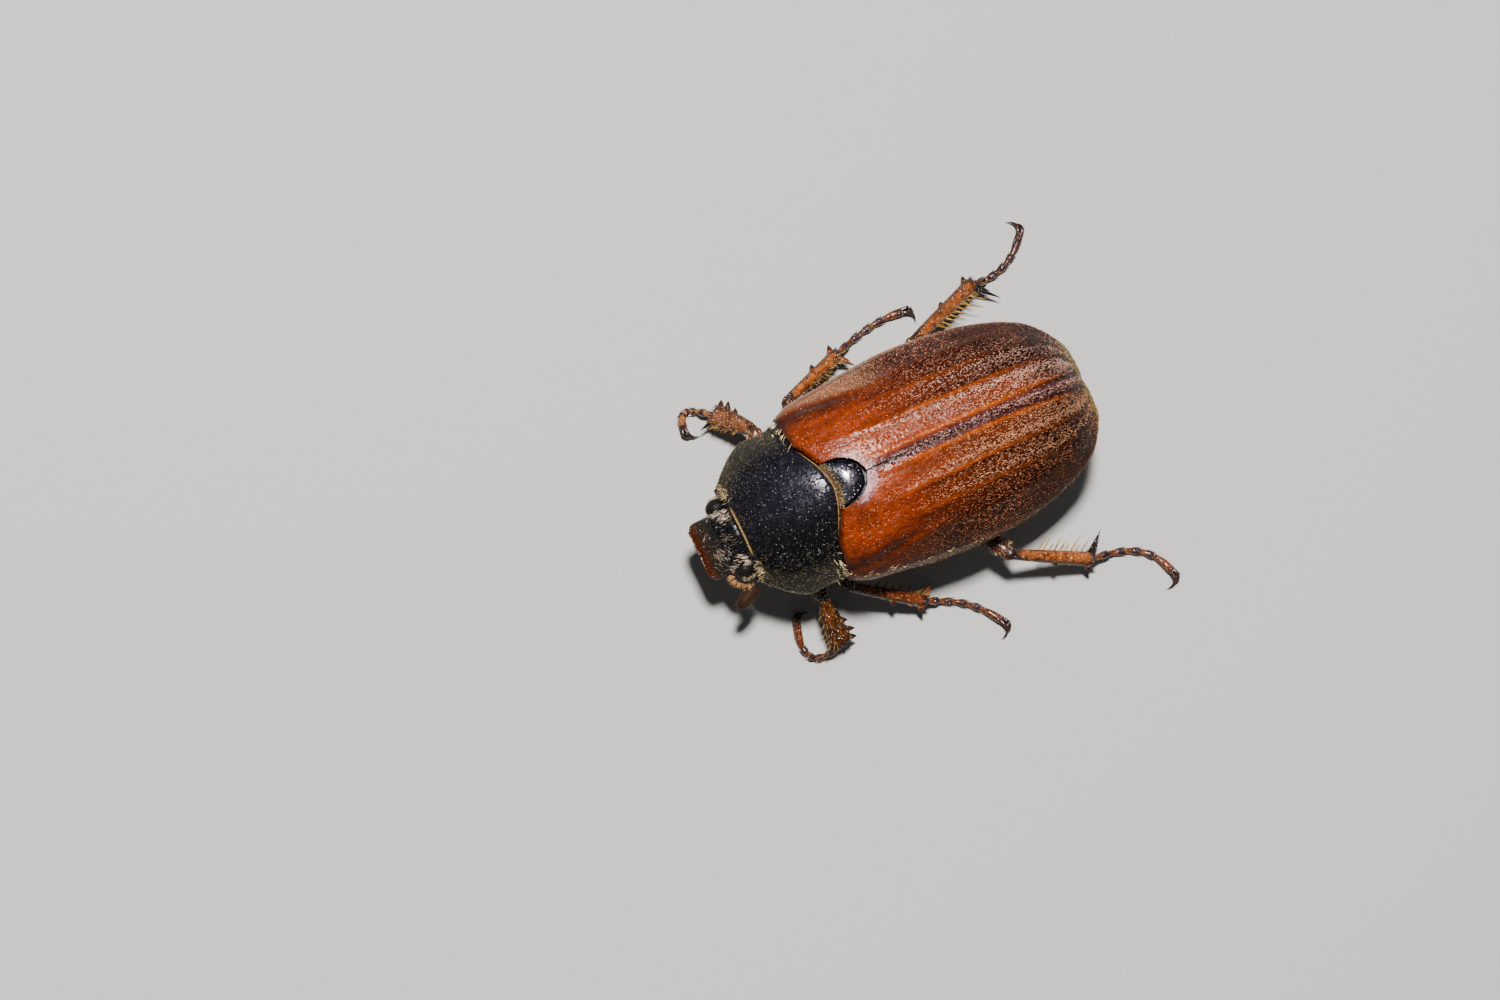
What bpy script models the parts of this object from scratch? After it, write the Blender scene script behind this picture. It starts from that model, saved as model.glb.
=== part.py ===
"""A cockchafer, or May bug, as a still, life-size model that stands on the floor on its six feet.

The beetle is drawn in millimetres. Its head points to -Y, its left side to +X and its back to +Z.
x = 0 and y = 0 lie at the middle of the pronotum's rear margin, and z = 0 is the floor. At the end
every node is scaled to metres and moved, so that the origin is below the middle of the whole box.
"""
import math

import bmesh
import bpy
import numpy as np
from mathutils import Vector

MM = 0.001
GAP = 0.3                   # clearance between neighbouring nodes
LEFT, RIGHT = 1.0, -1.0     # sign of x on each side
SIDES = (("left", LEFT), ("right", RIGHT))


def profile(*stations):
    """Return a smooth curve through (position, value) pairs that doesn't overshoot between them."""
    place = np.array([station[0] for station in stations], float)
    value = np.array([station[1] for station in stations], float)
    step = np.diff(place)
    rise = np.diff(value) / step
    slope = np.concatenate(([rise[0]], np.zeros(len(rise) - 1), [rise[-1]]))
    for i in range(1, len(rise)):
        if rise[i - 1] * rise[i] > 0:
            slope[i] = 2 * rise[i - 1] * rise[i] / (rise[i - 1] + rise[i])

    def curve(at):
        at = np.clip(at, place[0], place[-1])
        i = np.clip(np.searchsorted(place, at) - 1, 0, len(step) - 1)
        t = (at - place[i]) / step[i]
        return (value[i] * (1 + 2 * t) * (1 - t) ** 2 + value[i + 1] * t * t * (3 - 2 * t)
                + step[i] * (slope[i] * t * (1 - t) ** 2 - slope[i + 1] * t * t * (1 - t)))
    return curve


# Wing cases, by distance behind the pronotum: half width, height along the suture, height of the margin
ELYTRA_WIDTH = profile((-0.9, 5.25), (-0.65, 5.4), (0.5, 5.8), (4, 6.2), (7.5, 6.4), (9.5, 6.3), (12, 5.95),
                       (13.8, 5.45), (15.4, 4.75), (16.5, 3.75), (17.2, 2.6), (17.5, 1.9))
ELYTRA_RIDGE = profile((-0.9, 9.1), (0.5, 9.4), (4, 9.95), (8, 10.2), (11, 9.95), (14, 9.2), (16, 7.9),
                       (17.5, 6.3))
ELYTRA_MARGIN = profile((-0.9, 6.1), (2, 5.6), (5, 5.2), (10, 5.2), (13, 5.35), (15.4, 5.55), (17.5, 5.95))
ELYTRA_END = 17.5
ELYTRA_ARCH = (2.3, 2.0)    # exponents of the cross-section, across and upward
ELYTRA_SHELL = 0.5          # thickness
SUTURE_HALF_GAP = 0.15
ELYTRON_ROWS = (0, 0.03, 0.08, 0.14, 0.21, 0.29, 0.37, 0.45, 0.53, 0.61, 0.69, 0.76, 0.82, 0.87, 0.91, 0.945,
                0.97, 0.988, 1)
# Each rib: its share of the half width at the front, at the middle and behind, its height and its end
RIBS = (((-0.9, 0.085), (9, 0.085), (17.5, 0.16), 0.10, 17.4),
        ((-0.9, 0.49), (5, 0.345), (9, 0.33), (13.5, 0.37), (17.5, 0.46), 0.13, 15.8),
        ((-0.9, 0.69), (5, 0.57), (9, 0.55), (13.5, 0.61), (17.5, 0.68), 0.12, 15.0),
        ((-0.9, 0.82), (5, 0.76), (9, 0.75), (17.5, 0.84), 0.10, 14.0),
        ((-0.9, 0.93), (9, 0.90), (17.5, 0.94), 0.07, 14.5))
RIB_HALF_WIDTH = 0.3
RIB_FADE_IN, RIB_FADE_OUT = 2.5, 2.0        # lengths over which a rib rises and sinks
SHOULDER_BUMP = (4.45, 0.7, 0.9, 0.22)      # x, y, radius and height of the swelling at each shoulder

# Pronotum: rear margin by x, and half width, top, bottom and side height from front (0) to rear (1)
REAR_MARGIN = profile((0, 0), (0.9, -0.15), (1.5, -0.35), (2.5, -0.76), (3.4, -1.12), (4.3, -1.1),
                      (5.4, -0.95))
PRONOTUM_FRONT = -5.75
PRONOTUM_WIDTH = profile((0, 3.0), (0.2, 3.85), (0.4, 4.55), (0.58, 4.9), (0.78, 4.85), (1, 4.95))
PRONOTUM_TOP = profile((0, 7.25), (0.3, 8.35), (0.65, 9.1), (1, 9.3))
PRONOTUM_BOTTOM = profile((0, 3.3), (0.5, 2.5), (1, 2.2))
PRONOTUM_SIDE = profile((0, 5.6), (0.55, 5.1), (1, 5.5))
PRONOTUM_ARCH = (2.2, 1.9)
PRONOTUM_KEEL = 1.6         # exponent of the breast's cross-section
PRONOTUM_TUCK = 0.12        # how far its first and last rows are rounded in

SCUTELLUM_HALF_WIDTH = 1.45
SCUTELLUM_END = 1.95
SCUTELLUM_TOP, SCUTELLUM_BOTTOM = 9.48, 8.9
SCUTELLUM_DOME = 0.3
SCUTELLUM_CLEARANCE = 4     # its cutter reaches this many gaps above, below and ahead of it

LEAN = 0.016                # how far the hind body bends to its left for each mm behind the pronotum
BELLY = profile((-1, 2.1), (0.5, 1.6), (3, 1.3), (6, 1.3), (9, 1.6), (13, 2.4), (17, 3.3))
BELLY_ARCH = 1.45
WAIST = 7.5                 # where the thorax ends and the abdomen begins

PYGIDIUM_BASE, PYGIDIUM_TIP = (16.8, 5.5), (18.35, 1.9)     # y and z of the last plate's ends
PYGIDIUM_WIDTH = profile((0, 3.1), (0.25, 2.75), (0.6, 1.55), (0.85, 0.7), (1, 0.42))
PYGIDIUM_THICKNESS = 0.55
PYGIDIUM_BULGE = 0.35

# Head in side view, from the neck to the front rim: (y, z) above, (y, z) below, half width, squareness
HEAD = (((-4.7, 6.5), (-4.6, 4.4), 1.6, 2.2),
        ((-5.7, 6.85), (-5.3, 3.9), 2.0, 2.2),
        ((-6.3, 6.7), (-5.9, 3.6), 2.1, 2.3),
        ((-6.85, 6.2), (-6.4, 3.45), 2.0, 2.4),
        ((-7.25, 5.7), (-6.95, 3.55), 1.85, 2.7),
        ((-7.65, 5.2), (-7.4, 3.85), 1.85, 3.0),
        ((-7.97, 4.95), (-7.8, 4.2), 1.75, 3.2),
        ((-8.1, 4.8), (-8.0, 4.4), 1.5, 3.2))
HEAD_SIDES = 20
CLYPEUS_DISH = 0.14         # how far the shield before the eyes is hollowed inside its raised rim
CLYPEUS_RINGS = (4, 5)      # the stations of HEAD that are hollowed
EYE_CENTRE, EYE_RADII = (2.02, -6.15, 5.45), (0.55, 0.66, 0.62)

# Feelers: points of the stalk, then root and tip of its closed fan; the left one is held out to the side
# and the right one is tucked under the head
STALKS = {"left": ((1.5, -7.0, 4.55), (2.3, -6.95, 4.6), (2.75, -6.55, 4.55), (3.02, -6.0, 4.4)),
          "right": ((-1.35, -6.85, 4.2), (-1.7, -6.6, 3.5), (-1.85, -6.05, 3.15), (-1.8, -5.75, 3.05))}
CLUBS = {"left": ((3.12, -5.75, 4.35), (3.85, -7.3, 4.1)),
         "right": ((-1.75, -5.6, 3.0), (-1.35, -7.15, 2.75))}
STALK_RADIUS = 0.25
CLUB_HALF_WIDTH, CLUB_HALF_HEIGHT = 0.42, 0.4
CLUB_LEAVES = 6
PALP = ((0.5, -7.1, 3.9), (0.6, -7.4, 3.4), (0.68, -7.55, 2.95), (0.7, -7.45, 2.5))
PALP_RADIUS = 0.25

# Legs: hip, knee, ankle, the point toward which the foot sets out, and the foot's end
LEGS = {
    "fore_left": ((1.3, -2.6, 2.5), (5.25, -2.1, 2.9), (8.2, -1.85, 1.15), (9.0, -4.7), (5.95, -3.65)),
    "fore_right": ((-1.3, -2.6, 2.5), (-5.5, -1.35, 2.9), (-7.6, -2.8, 1.15), (-9.35, -4.35), (-7.7, -4.65)),
    "mid_left": ((1.6, 1.5, 1.9), (5.4, -0.5, 3.5), (8.0, 3.9, 1.1), (8.6, 6.6), (11.0, 7.9)),
    "mid_right": ((-1.6, 1.5, 1.9), (-6.25, 1.1, 3.5), (-7.8, 5.75, 1.1), (-8.9, 8.6), (-8.6, 10.75)),
    "hind_left": ((2.2, 6.9, 1.8), (7.8, 9.4, 3.5), (10.0, 14.4, 1.2), (10.0, 18.3), (12.7, 18.85)),
    "hind_right": ((-1.9, 6.7, 1.8), (-6.4, 9.85, 3.2), (-8.3, 15.35, 1.1), (-7.95, 18.1), (-9.9, 19.55)),
}
# By pair: hip radii, thigh half width, shin half widths at knee and ankle, shin flatness, spur length,
# outer teeth as (share of the shin, length), and on which side of the shin the teeth stand
PAIRS = {
    "fore": ((1.2, 0.85, 0.8), 0.66, 0.3, 0.7, 0.5, 0.7, ((0.6, 0.36), (0.8, 0.52), (0.97, 0.36)), 1.0),
    "mid": ((1.3, 0.9, 0.75), 0.66, 0.28, 0.4, 0.85, 1.1, ((0.6, 0.3), (0.97, 0.4)), -1.0),
    "hind": ((1.6, 1.0, 0.75), 0.72, 0.3, 0.44, 0.85, 1.7, ((0.55, 0.2), (0.97, 0.25)), -1.0),
}
# Shapes along a limb: share of its length and of its thickness, or of the way from its thin to its thick end
THIGH_SHAPE = ((0, 0.7), (0.12, 0.85), (0.3, 1.0), (0.5, 1.05), (0.72, 0.92), (0.9, 0.74), (1.0, 0.62),
               (1.06, 0.3))
THIGH_FLATNESS = 0.82
SHIN_SHAPE = ((0, 0), (0.12, 0.2), (0.4, 0.55), (0.7, 0.85), (0.94, 1.1), (1.0, 0.85))
SHIN_HALF_HEIGHT = 0.27                     # the least that any shin has
TOOTH_RADIUS = 0.3
SPUR_RADIUS = 0.17
SPUR_SPREAD = math.radians(57)              # between a spur and its shin
SPUR_CLEARANCE = 0.35                       # least height of a spur's tip above the floor
FOOT_SEGMENTS = 5
FOOT_WAIST, FOOT_FLARE = 0.22, 0.3          # radii of a foot segment at its root and near its end
SEGMENT_SHAPE = ((0.08, FOOT_WAIST), (0.7, FOOT_FLARE), (0.93, FOOT_FLARE))
FOOT_HEIGHT = 0.25                          # of the foot's centre line above the floor
FOOT_DROP, FOOT_LIFT = 0.34, 0.18           # shares of the foot that come down from the ankle and rise again
CLAW_RISE = 0.2                             # how far the foot's end is lifted
# Claws: how far the middle and the tip lie ahead of the foot's end, aside of it and above the floor
CLAW_BEND, CLAW_TIP = (0.33, 0.3, 0.47), (0.68, 0.42, 0.06)
CLAW_RADII = (0.15, 0.13, 0.03)

COLOURS = {                 # base colour, roughness
    "black": ((0.012, 0.012, 0.018), 0.25),
    "eye": ((0.01, 0.009, 0.009), 0.4),
    "red_brown": ((0.23, 0.05, 0.012), 0.35),
    "leg_brown": ((0.19, 0.055, 0.016), 0.35),
    "feeler_brown": ((0.3, 0.12, 0.04), 0.45),
    "club_brown": ((0.07, 0.025, 0.012), 0.5),
}


def solid(name, points, faces):
    """Make an object from points and faces that close up, with doubled points welded and faces out."""
    mesh = bpy.data.meshes.new(name)
    mesh.from_pydata([tuple(point) for point in points], [], faces)
    shape = bmesh.new()
    shape.from_mesh(mesh)
    bmesh.ops.remove_doubles(shape, verts=shape.verts, dist=1e-3)
    bmesh.ops.dissolve_degenerate(shape, edges=shape.edges, dist=1e-4)
    bmesh.ops.recalc_face_normals(shape, faces=shape.faces)
    if shape.calc_volume(signed=True) < 0:
        bmesh.ops.reverse_faces(shape, faces=shape.faces)
    shape.to_mesh(mesh)
    shape.free()
    piece = bpy.data.objects.new(name, mesh)
    bpy.context.scene.collection.objects.link(piece)
    return piece


def slab(name, upper, lower):
    """Close a plate between two grids of points that have the same rows and columns."""
    rows, columns = len(upper), len(upper[0])
    points = [p for grid in (upper, lower) for row in grid for p in row]
    below = rows * columns
    faces = []
    for j in range(rows - 1):
        for i in range(columns - 1):
            a = j * columns + i
            faces.append((a, a + 1, a + columns + 1, a + columns))
            faces.append((below + a + columns, below + a + columns + 1, below + a + 1, below + a))
    rim = ([i for i in range(columns)] + [j * columns + columns - 1 for j in range(1, rows)]
           + [(rows - 1) * columns + i for i in range(columns - 2, -1, -1)]
           + [j * columns for j in range(rows - 2, 0, -1)])
    for a, b in zip(rim, rim[1:] + rim[:1]):
        faces.append((b, a, below + a, below + b))
    return solid(name, points, faces)


def loft(name, rings):
    """Close a body through rings of points, with a flat cap on each end."""
    count = len(rings[0])
    points = [p for ring in rings for p in ring]
    faces = [tuple(range(count)), tuple(range(len(points) - count, len(points)))[::-1]]
    for start in range(0, len(points) - count, count):
        for i in range(count):
            j = (i + 1) % count
            faces.append((start + j, start + i, start + count + i, start + count + j))
    return solid(name, points, faces)


def tube(name, path, wide, tall, sides, grow=0.0):
    """Make a limb along a path, from half widths and half heights at each point."""
    path = [Vector(point) for point in path]
    ways = [(b - a).normalized() for a, b in zip(path, path[1:])]
    tangents = [ways[0]] + [(a + b).normalized() for a, b in zip(ways, ways[1:])] + [ways[-1]]
    path[0] -= tangents[0] * grow
    path[-1] += tangents[-1] * grow
    rings = []
    for centre, tangent, half_width, half_height in zip(path, tangents, wide, tall):
        side = tangent.cross(Vector((0, 0, 1))).normalized()
        up = side.cross(tangent)
        ring = []
        for k in range(sides):
            angle = 2 * math.pi * (k + 0.5) / sides
            ring.append(centre + side * math.cos(angle) * (half_width + grow)
                        + up * math.sin(angle) * (half_height + grow))
        rings.append(ring)
    return loft(name, rings)


def ball(name, centre, radii, segments, grow=0.0):
    """Make an egg shape with level rings."""
    rings = []
    levels = segments // 2
    for j in range(1, levels):
        polar = math.pi * j / levels
        ring = []
        for k in range(segments):
            turn = 2 * math.pi * k / segments
            unit = (math.sin(polar) * math.cos(turn), math.sin(polar) * math.sin(turn), math.cos(polar))
            ring.append([centre[n] + unit[n] * (radii[n] + grow) for n in range(3)])
        rings.append(ring)
    poles = [[list(centre[:2]) + [centre[2] + sign * (radii[2] + grow)]] * segments for sign in (1, -1)]
    return loft(name, [poles[0]] + rings + [poles[1]])


def spike(name, root, tip, radius, bend=(0, 0, 0), sides=5):
    """Make a short tapered spine; bend moves its middle aside."""
    root, tip = Vector(root), Vector(tip)
    middle = root.lerp(tip, 0.55) + Vector(bend)
    radii = (radius, radius * 0.7, radius * 0.15)
    return tube(name, (root, middle, tip), radii, radii, sides)


def keep_largest(piece):
    """Drop every closed surface of a node except its largest."""
    shape = bmesh.new()
    shape.from_mesh(piece.data)
    unseen = set(shape.faces)
    islands = []
    while unseen:
        island, edge = set(), [unseen.pop()]
        while edge:
            face = edge.pop()
            island.add(face)
            for line in face.edges:
                for other in line.link_faces:
                    if other in unseen:
                        unseen.remove(other)
                        edge.append(other)
        islands.append(island)
    islands.sort(key=lambda island: sum(face.calc_area() for face in island))
    bmesh.ops.delete(shape, geom=[face for island in islands[:-1] for face in island], context="FACES")
    bmesh.ops.remove_doubles(shape, verts=shape.verts, dist=1e-3)
    bmesh.ops.dissolve_degenerate(shape, edges=shape.edges, dist=1e-4)
    shape.to_mesh(piece.data)
    shape.free()


def combine(piece, others, operation):
    """Apply one Boolean between a piece and a collection of closed pieces, which are then removed."""
    group = bpy.data.collections.new("tools")
    bpy.context.scene.collection.children.link(group)
    for other in others:
        group.objects.link(other)
    boolean = piece.modifiers.new(operation.lower(), "BOOLEAN")
    boolean.operation = operation
    boolean.operand_type = "COLLECTION"
    boolean.collection = group
    boolean.solver = "EXACT"
    evaluated = piece.evaluated_get(bpy.context.evaluated_depsgraph_get())
    mesh = bpy.data.meshes.new_from_object(evaluated)
    piece.modifiers.clear()
    piece.data = mesh
    for other in others:
        bpy.data.objects.remove(other)
    bpy.data.collections.remove(group)
    keep_largest(piece)
    return piece


def fuse(name, pieces):
    """Join closed pieces into one closed node."""
    whole = combine(pieces[0], pieces[1:], "UNION")
    whole.name = name
    return whole


def carve(piece, cutters):
    """Cut a node clear of its neighbours, given as slightly larger copies."""
    return combine(piece, cutters, "DIFFERENCE")


def finish(piece, colour):
    """Give a node its material and smooth its round faces."""
    base, roughness = COLOURS[colour]
    material = bpy.data.materials.new(piece.name)
    material.use_nodes = True
    shader = material.node_tree.nodes["Principled BSDF"]
    shader.inputs["Base Color"].default_value = (*base, 1.0)
    shader.inputs["Roughness"].default_value = roughness
    shader.inputs["Metallic"].default_value = 0.0
    piece.data.materials.clear()
    piece.data.materials.append(material)
    piece.data.name = piece.name
    piece.data.shade_smooth()
    piece.data.set_sharp_from_angle(angle=math.radians(38))
    return piece


def lean(piece):
    """Bend a piece of the hind body to its left, more toward its end."""
    for vertex in piece.data.vertices:
        vertex.co.x += LEAN * vertex.co.y
    return piece


def elytra_height(x, y):
    """Height of the wing cases' smooth back at a place."""
    across, upward = ELYTRA_ARCH
    share = np.clip(np.abs(x) / ELYTRA_WIDTH(y), 0, 1)
    return ELYTRA_MARGIN(y) + (ELYTRA_RIDGE(y) - ELYTRA_MARGIN(y)) * (1 - share ** across) ** (1 / upward)


def elytra_normal(x, y):
    """Outward direction of the smooth back, from the implicit form of its cross-section."""
    across, upward = ELYTRA_ARCH
    small = 0.01

    def level(px, py, pz):
        side = (abs(px) / ELYTRA_WIDTH(py)) ** across
        rise = max(pz - ELYTRA_MARGIN(py), 0.0) / (ELYTRA_RIDGE(py) - ELYTRA_MARGIN(py))
        return side + rise ** upward
    z = elytra_height(x, y)
    lean = (level(x + small, y, z) - level(x - small, y, z),
            level(x, y + small, z) - level(x, y - small, z),
            2 * (level(x, y, z + small) - level(x, y, z)))
    return Vector(lean).normalized()


def rib_line(rib, y):
    """Share of the half width at which a rib runs, at a distance behind the pronotum."""
    return profile(*rib[:-2])(y)


def relief(share, y):
    """Height of the ribs and the shoulder bump over the smooth back."""
    raised = 0.0
    width = ELYTRA_WIDTH(y)
    for rib in RIBS:
        away = abs(share - rib_line(rib, y)) * width / RIB_HALF_WIDTH
        fade = np.clip((rib[-1] - y) / RIB_FADE_OUT, 0, 1) * np.clip(y / RIB_FADE_IN, 0, 1)
        raised = max(raised, rib[-2] * fade * max(0.0, 1 - away))
    bump_x, bump_y, radius, height = SHOULDER_BUMP
    reach = math.hypot(share * width - bump_x, y - bump_y) / radius
    return raised + height * math.exp(-reach * reach)


def back_point(share, y, depth=0.0):
    """A point of the back at a share of the half width, sunk by depth along the surface's normal."""
    x = share * float(ELYTRA_WIDTH(y))
    point = Vector((x, y, float(elytra_height(x, y))))
    return point - elytra_normal(x, y) * depth


def row_place(share, run, end):
    """The y of a row, which follows the pronotum's rear margin in front and runs straight at its end."""
    y = end * run
    for _ in range(6):
        front = float(REAR_MARGIN(share * ELYTRA_WIDTH(y))) + GAP
        y = front + run * (end - front)
    return y


def elytron(name, side):
    """One wing case: a ribbed shell that is open below."""
    upper, lower = [], []
    for run in ELYTRON_ROWS:
        middle = row_place(0.5, run, ELYTRA_END)
        width = float(ELYTRA_WIDTH(middle))
        half_rib = RIB_HALF_WIDTH / width
        lines = [float(rib_line(rib, middle)) for rib in RIBS]
        inner = SUTURE_HALF_GAP / width
        shares = [inner, max(lines[0], inner + 0.3 * half_rib), lines[0] + half_rib]
        for before, line in zip(lines, lines[1:-1]):
            shares += [(before + line) / 2, line - half_rib, line, line + half_rib]
        shares += [lines[-1], (lines[-1] + 1) / 2]
        shares = sorted(min(share, 0.985) for share in shares) + [0.993, 1.0]
        top, bottom = [], []
        for share in shares:
            y = row_place(share, run, ELYTRA_END)
            outward = elytra_normal(share * float(ELYTRA_WIDTH(y)), y)
            outer = back_point(share, y) + outward * float(relief(share, y))
            under = back_point(share, y, ELYTRA_SHELL)
            under.x = max(under.x, SUTURE_HALF_GAP)
            for point, row in ((outer, top), (under, bottom)):
                row.append((side * point.x, point.y, point.z))
        upper.append(top)
        lower.append(bottom)
    return carve(lean(slab(name, upper, lower)), [scutellum("cutter", GAP)])


def scutellum(name, grow=0.0):
    """The small shield between the wing cases' roots."""
    reach = SCUTELLUM_CLEARANCE * grow
    upper, lower = [], []
    for run in (0, 0.3, 0.55, 0.75, 0.9, 0.99):
        half = (SCUTELLUM_HALF_WIDTH + grow) * math.sqrt(1 - run * run)
        top, bottom = [], []
        for share in (-1, -0.75, -0.4, 0, 0.4, 0.75, 1):
            x = share * half
            front = float(REAR_MARGIN(abs(x))) + GAP - reach
            y = front + run * (SCUTELLUM_END + grow - front)
            dome = SCUTELLUM_DOME * (1 - share * share) * (1 - run * run)
            top.append((x, y, SCUTELLUM_TOP - SCUTELLUM_DOME + dome + reach))
            bottom.append((x, y, SCUTELLUM_BOTTOM - reach))
        upper.append(top)
        lower.append(bottom)
    return lean(slab(name, upper, lower))


def pronotum_body():
    """The whole front ring of the thorax: the shield above and the breast below."""
    shares = [math.sin(math.pi / 2 * k / 7) for k in range(-7, 8)]
    across, upward = PRONOTUM_ARCH
    upper, lower = [], []
    for run in (0, 0.06, 0.16, 0.3, 0.44, 0.58, 0.72, 0.86, 0.96, 1):
        half, side_height = float(PRONOTUM_WIDTH(run)), float(PRONOTUM_SIDE(run))
        tuck = PRONOTUM_TUCK if run in (0, 1) else 0.0
        top, bottom = [], []
        for share in shares:
            x = share * half
            front = PRONOTUM_FRONT + 0.1 * share * share
            y = front + run * (float(REAR_MARGIN(abs(x))) - front)
            arch = (1 - abs(share) ** across) ** (1 / upward)
            keel = (1 - abs(share) ** PRONOTUM_KEEL) ** (1 / PRONOTUM_KEEL)
            top.append((x, y, side_height + (float(PRONOTUM_TOP(run)) - tuck - side_height) * arch))
            bottom.append((x, y, side_height - (side_height - float(PRONOTUM_BOTTOM(run)) - tuck) * keel))
        upper.append(top)
        lower.append(bottom)
    return slab("pronotum", upper, lower)


def trunk(name, start, end, steps):
    """A stretch of the body under the wing cases; its front follows the pronotum where start is None."""
    shares = [math.sin(math.pi / 2 * k / 6) for k in range(-6, 7)]
    upper, lower = [], []
    for step in range(steps + 1):
        run = step / steps
        top, bottom = [], []
        for share in shares:
            if start is None:
                y = row_place(abs(share), run, end)
            else:
                y = start + run * (end - start)
            over = back_point(abs(share), y, ELYTRA_SHELL + GAP)
            rim = back_point(1.0, y, ELYTRA_SHELL + GAP)
            x = math.copysign(min(over.x, rim.x), share)
            keel = (1 - (abs(x) / rim.x) ** BELLY_ARCH) ** (1 / BELLY_ARCH)
            top.append((x, over.y if step else y, over.z))
            bottom.append((x, rim.y if step else y, rim.z - (rim.z - float(BELLY(y))) * keel))
        upper.append(top)
        lower.append(bottom)
    return lean(slab(name, upper, lower))


def pygidium_point(share, run, depth):
    """A point of the steep last plate, sunk by depth below its outer face."""
    (y0, z0), (y1, z1) = PYGIDIUM_BASE, PYGIDIUM_TIP
    slope = math.hypot(y1 - y0, z1 - z0)
    out_y, out_z = (z0 - z1) / slope, (y1 - y0) / slope
    bulge = PYGIDIUM_BULGE * (1 - share * share) * math.sin(math.pi * min(run * 1.1, 1)) - depth
    return (share * float(PYGIDIUM_WIDTH(run)), y0 + run * (y1 - y0) + bulge * out_y,
            z0 + run * (z1 - z0) + bulge * out_z)


def pygidium_plate():
    """The pointed plate that closes the body behind."""
    shares = (-1, -0.7, -0.35, 0, 0.35, 0.7, 1)
    runs = (0, 0.2, 0.4, 0.6, 0.8, 0.92, 1)
    outer = [[pygidium_point(share, run, 0) for share in shares] for run in runs]
    inner = [[pygidium_point(share, run, PYGIDIUM_THICKNESS) for share in shares] for run in runs]
    return lean(slab("pygidium", outer, inner))


def behind_plate():
    """A block that ends the abdomen along the last plate's inner face."""
    half_width, depth = 11, 8
    (y0, z0), (y1, z1) = PYGIDIUM_BASE, PYGIDIUM_TIP
    slope = math.hypot(y1 - y0, z1 - z0)
    sink = (PYGIDIUM_THICKNESS + GAP) / ((z0 - z1) / slope)
    near, far = [], []
    for run in (-1.6, 2.6):
        y, z = y0 + run * (y1 - y0) - sink, z0 + run * (z1 - z0)
        near.append([(x, y, z) for x in (-half_width, half_width)])
        far.append([(x, y + depth, z) for x in (-half_width, half_width)])
    return lean(slab("cutter", near, far))


def head_shape(name, grow=0.0):
    """The head from the neck to the raised front rim; grow makes the socket that it sits in."""
    rings = []
    for index, (above, below, half, square) in enumerate(HEAD):
        above, below = Vector((0, *above)), Vector((0, *below))
        middle, up = (above + below) / 2, (above - below) / 2
        reach = up.length + grow
        up.normalize()
        ahead = Vector((0, up.z, -up.y)) * -1
        push = grow if index == len(HEAD) - 1 else (-grow if index == 0 else 0)
        ring = []
        hollow = CLYPEUS_DISH if index in CLYPEUS_RINGS and not grow else 0
        for k in range(HEAD_SIDES):
            angle = 2 * math.pi * (k + 0.5) / HEAD_SIDES
            across = math.copysign(abs(math.cos(angle)) ** (2 / square), math.cos(angle))
            rise = math.copysign(abs(math.sin(angle)) ** (2 / square), math.sin(angle))
            dish = hollow * (1 - across ** 4) if rise > 0 else 0
            ring.append(middle + Vector((1, 0, 0)) * across * (half + grow)
                        + up * (rise * reach - dish) + ahead * push)
        rings.append(ring)
    return loft(name, rings)


def mirrored(points, side):
    """The same points on the left or right side."""
    return [Vector((side * point[0], point[1], point[2])) for point in points]


def stalk(name, word, grow=0.0):
    """The feeler's bent stalk."""
    radii = [STALK_RADIUS * scale for scale in (1.1, 1.15, 0.95, 1.05)]
    return tube(name, STALKS[word], radii, radii, 8, grow)


def club(name, word):
    """The feeler's closed fan: thin leaves side by side, seen as ridges along an egg shape."""
    root, tip = (Vector(point) for point in CLUBS[word])
    along = (tip - root).normalized()
    across = along.cross(Vector((0, 0, 1))).normalized()
    up = across.cross(along)
    points_across = 2 * CLUB_LEAVES + 1
    rings = []
    for run in (0.0, 0.07, 0.22, 0.42, 0.62, 0.8, 0.93, 1.0):
        swell = math.sqrt(max(0.0, 1 - abs(2 * (run ** 0.85) - 1) ** 2.6)) * 0.93 + 0.07
        ring = []
        for face in (1, -1):
            for k in range(points_across):
                share = (2 * k / (points_across - 1) - 1) * face
                groove = 0.83 if k % 2 == 0 and 0 < k < points_across - 1 else 1.0
                height = (1 - abs(share) ** 2.4) ** 0.5 * groove
                ring.append(root.lerp(tip, run) + across * share * CLUB_HALF_WIDTH * swell
                            + up * face * height * CLUB_HALF_HEIGHT * swell)
            ring.pop()
        rings.append(ring)
    return loft(name, rings)


def hip_ball(leg, grow=0.0):
    """The hip, an egg sunk into the breast."""
    return ball("hip", LEGS[leg][0], PAIRS[leg.split("_")[0]][0], 12, grow)


def thigh(leg, grow=0.0):
    """The thigh, from inside the hip to the rounded knee."""
    hip, knee = (Vector(point) for point in LEGS[leg][:2])
    width = PAIRS[leg.split("_")[0]][1]
    path = [hip.lerp(knee, share) for share, _ in THIGH_SHAPE]
    thick = [width * scale for _, scale in THIGH_SHAPE]
    flat = [half * THIGH_FLATNESS for half in thick]
    return tube("thigh", path, thick, flat, 10, grow)


def sockets(pair):
    """Cutters that clear both hips and thighs of a pair of legs."""
    legs = [pair + "_" + word for word, _ in SIDES]
    return [make(leg, GAP) for leg in legs for make in (hip_ball, thigh)]


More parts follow.
